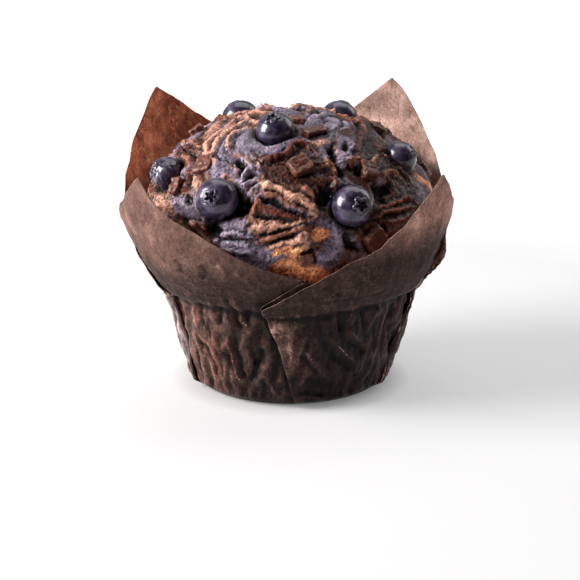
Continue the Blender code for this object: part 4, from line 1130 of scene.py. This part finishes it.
def paper_material():
    m = Shader("brown_parchment")
    inside = m.attribute("inside").outputs["Fac"]
    wall = m.attribute("wall").outputs["Fac"]
    warm = m.attribute("warm").outputs["Fac"]
    cloud = m.noise(75, 4, 0.6)
    blot = m.noise(190, 5, 0.62, distortion=0.4)
    fibre = m.noise(420, 5, 0.7, vector=m.scaled(1.0, 1.0, 0.55), distortion=1.2)
    speck = m.noise(2100, 3, 0.7)
    grease = m.attribute("grease").outputs["Fac"]
    glow = m.attribute("glow").outputs["Fac"]
    dry = m.mix(m.range(cloud, 0.35, 0.65), tuple(srgb(112, 80, 71)), tuple(srgb(142, 106, 95)))
    dry = m.mix(m.range(blot, 0.42, 0.7), dry, tuple(srgb(98, 68, 60)))
    # damp and soaked colours: darker for the fat in the paper, and painted shade as well
    damp_and_shaded = m.mix(m.range(cloud, 0.35, 0.65), tuple(srgb(44, 27, 25)), tuple(srgb(64, 42, 38)))
    soaked_and_shaded = m.mix(m.range(cloud, 0.35, 0.65), tuple(srgb(27, 13, 10)), tuple(srgb(50, 26, 21)))
    soaked_and_shaded = m.mix(m.range(blot, 0.5, 0.68), soaked_and_shaded, tuple(srgb(17, 9, 8)))
    colour = m.mix(grease, dry, damp_and_shaded)
    colour = m.mix(wall, colour, soaked_and_shaded)
    pale = m.mix(m.range(blot, 0.38, 0.66), tuple(srgb(170, 132, 118)), tuple(srgb(200, 166, 152)))
    # painted glow of light shining through the back-left leaf from behind
    backlit = m.mix(m.range(m.noise(120, 4, 0.6), 0.42, 0.62), tuple(srgb(160, 82, 56)), tuple(srgb(205, 122, 86)))
    backlit = m.mix(m.range(m.noise(520, 3, 0.6), 0.56, 0.7), backlit, tuple(srgb(240, 160, 104)))
    # painted highlight on the far left of the wall
    frost = m.attribute("frost").outputs["Fac"]
    colour = m.mix(m.math("MULTIPLY", frost, m.range(m.noise(240, 3, 0.6, vector=m.scaled(1, 1, 0.2)), 0.42, 0.62)), colour, tuple(srgb(150, 130, 132)))
    inner = m.mix(glow, pale, backlit)
    colour = m.mix(inside, colour, inner)
    colour = m.mix(m.math("MULTIPLY", m.range(fibre, 0.52, 0.72), m.range(wall, 0.0, 1.0, 0.4, 0.16)), colour, tuple(srgb(150, 122, 112)))
    colour = m.mix(m.math("MULTIPLY", m.range(fibre, 0.48, 0.3), 0.6), colour, tuple(srgb(34, 20, 18)))
    colour = m.mix(m.math("MULTIPLY", m.range(speck, 0.35, 0.65), m.range(wall, 0.0, 1.0, 0.16, 0.06)), colour, tuple(srgb(170, 140, 128)))
    # painted shade in the creases and painted highlight on the ridges, times each leaf's painted light and shade from
    # its tone attribute
    ridge = m.attribute("ridge").outputs["Fac"]
    tone = m.math("ADD", m.range(ridge, 0.0, 0.5, 0.08, 1.0), m.range(ridge, 0.5, 1.0, 0.0, 2.2))
    tone = m.math("MULTIPLY", tone, m.attribute("tone").outputs["Fac"])
    tone = m.math("MULTIPLY", tone, m.range(m.noise(1500, 3, 0.75), 0.3, 0.7, 0.55, 1.45))
    grey = m.put("CombineColor")
    for socket in grey.inputs[:3]:
        m.tree.links.new(tone, socket)
    colour = m.mix(1.0, colour, grey.outputs[0], "MULTIPLY")
    colour = m.mix(m.attribute("shade").outputs["Fac"], colour, tuple(srgb(12, 7, 7)))
    # warm painted highlight along the sharpest creases
    colour = m.mix(m.math("MULTIPLY", warm, 0.42), colour, tuple(srgb(92, 50, 36)))
    rough = m.math("ADD", m.range(wall, 0.0, 1.0, 0.74, 0.34), m.range(blot, 0.3, 0.7, -0.06, 0.08))
    height = m.math("ADD", m.math("MULTIPLY", fibre, 0.7), m.math("MULTIPLY", speck, 0.35))
    height = m.math("ADD", height, m.math("MULTIPLY", m.noise(260, 3, 0.6, vector=m.scaled(1, 1, 0.4), distortion=0.8), 1.4))
    return m.finish(Base_Color=colour, Roughness=rough, Normal=m.bump(height, 0.4, 0.00035), Specular_IOR_Level=0.1)

# ---- build -------------------------------------------------------------------------------------
crumb = make_crown()
crumb.data.materials.append(crumb_material())
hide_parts("muffin")
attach(crumb, "root")

skin = berry_material()
for i, key in enumerate(BERRIES):
    piece = make_berry(key, i)
    piece.data.materials.append(skin)
    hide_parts(key)
    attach(piece, "root")

block = chocolate_material()
for i, key in enumerate(CHUNKS):
    piece = make_chunk(key, i)
    weld(piece)
    piece.data.materials.append(block)
    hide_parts(key)
    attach(piece, "root")

parchment = paper_material()
for piece in [make_leaf(key) for key in LEAVES] + [make_foot()]:
    piece.data.materials.append(parchment)
    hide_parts("paper_case")
    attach(piece, "root")

# ---- floor, light, camera ------------------------------------------------------------------------
floor = make_piece("floor", np.array([[-3000, -260, 0], [3000, -260, 0], [3000, 6000, 0], [-3000, 6000, 0]]), [[0, 1, 2, 3]], smooth=False)
floor_look = Shader("white_table")
away = floor_look.put("VectorMath", {"operation": "LENGTH"})
floor_look.tree.links.new(floor_look.place, away.inputs[0])
# the floor glows: painted light that lifts its shadows; the glow is weaker in a ring round the case's foot, a painted
# contact shadow, and stronger further away
glow = floor_look.math("ADD", floor_look.range(away.outputs["Value"], 0.0255, 0.036, 0.14, 0.46), floor_look.range(away.outputs["Value"], 0.16, 0.5, 0.0, 0.56))
floor.data.materials.append(floor_look.finish(Base_Color=(0.40, 0.394, 0.398), Roughness=0.85, Specular_IOR_Level=0.1, Emission_Color=(1.0, 1.0, 1.0), Emission_Strength=glow))


def area_light(name, place, target, size, power, colour=(1, 1, 1)):
    light = bpy.data.lights.new(name, "AREA")
    light.shape = "RECTANGLE"
    light.size, light.size_y = size
    light.energy = power
    light.color = colour
    obj = bpy.data.objects.new(name, light)
    obj.location = place
    obj.rotation_euler = (Vector(target) - Vector(place)).to_track_quat("-Z", "Y").to_euler()
    bpy.context.scene.collection.objects.link(obj)


area_light("softbox_left", (-0.62, -0.10, 0.34), (0, 0, 0.05), (0.40, 0.46), 12.0, (1.0, 0.985, 0.97))
area_light("softbox_top", (0.05, 0.30, 0.75), (0, 0, 0.03), (0.7, 0.5), 2.2)

area_light("softbox_right", (0.55, 0.35, 0.45), (0, 0, 0.06), (0.4, 0.4), 1.2)

world = bpy.data.worlds.new("studio")
bpy.context.scene.world = world
world.use_nodes = True
tree = world.node_tree
coords = tree.nodes.new("ShaderNodeTexCoord")
split = tree.nodes.new("ShaderNodeSeparateXYZ")
ramp = tree.nodes.new("ShaderNodeMapRange")
ramp.inputs["From Min"].default_value = -0.15
ramp.inputs["From Max"].default_value = 0.7
ramp.inputs["To Min"].default_value = 0.03
ramp.inputs["To Max"].default_value = 0.3
tree.links.new(coords.outputs["Generated"], split.inputs[0])
tree.links.new(split.outputs["Y"], ramp.inputs["Value"])
tree.links.new(ramp.outputs[0], tree.nodes["Background"].inputs["Strength"])
tree.nodes["Background"].inputs["Color"].default_value = (1, 1, 1, 1)

camera = bpy.data.objects.new("camera", bpy.data.cameras.new("camera"))
camera.data.sensor_width = 36.0
camera.data.lens = 91.2
camera.location = (0.0, -0.41723, 0.14603)
camera.rotation_euler = (math.radians(90 - 16.03), 0, 0)
camera.data.clip_end = 50.0
bpy.context.scene.collection.objects.link(camera)
bpy.context.scene.camera = camera
bpy.context.scene.view_settings.view_transform = "Standard"
bpy.context.scene.view_settings.look = "None"
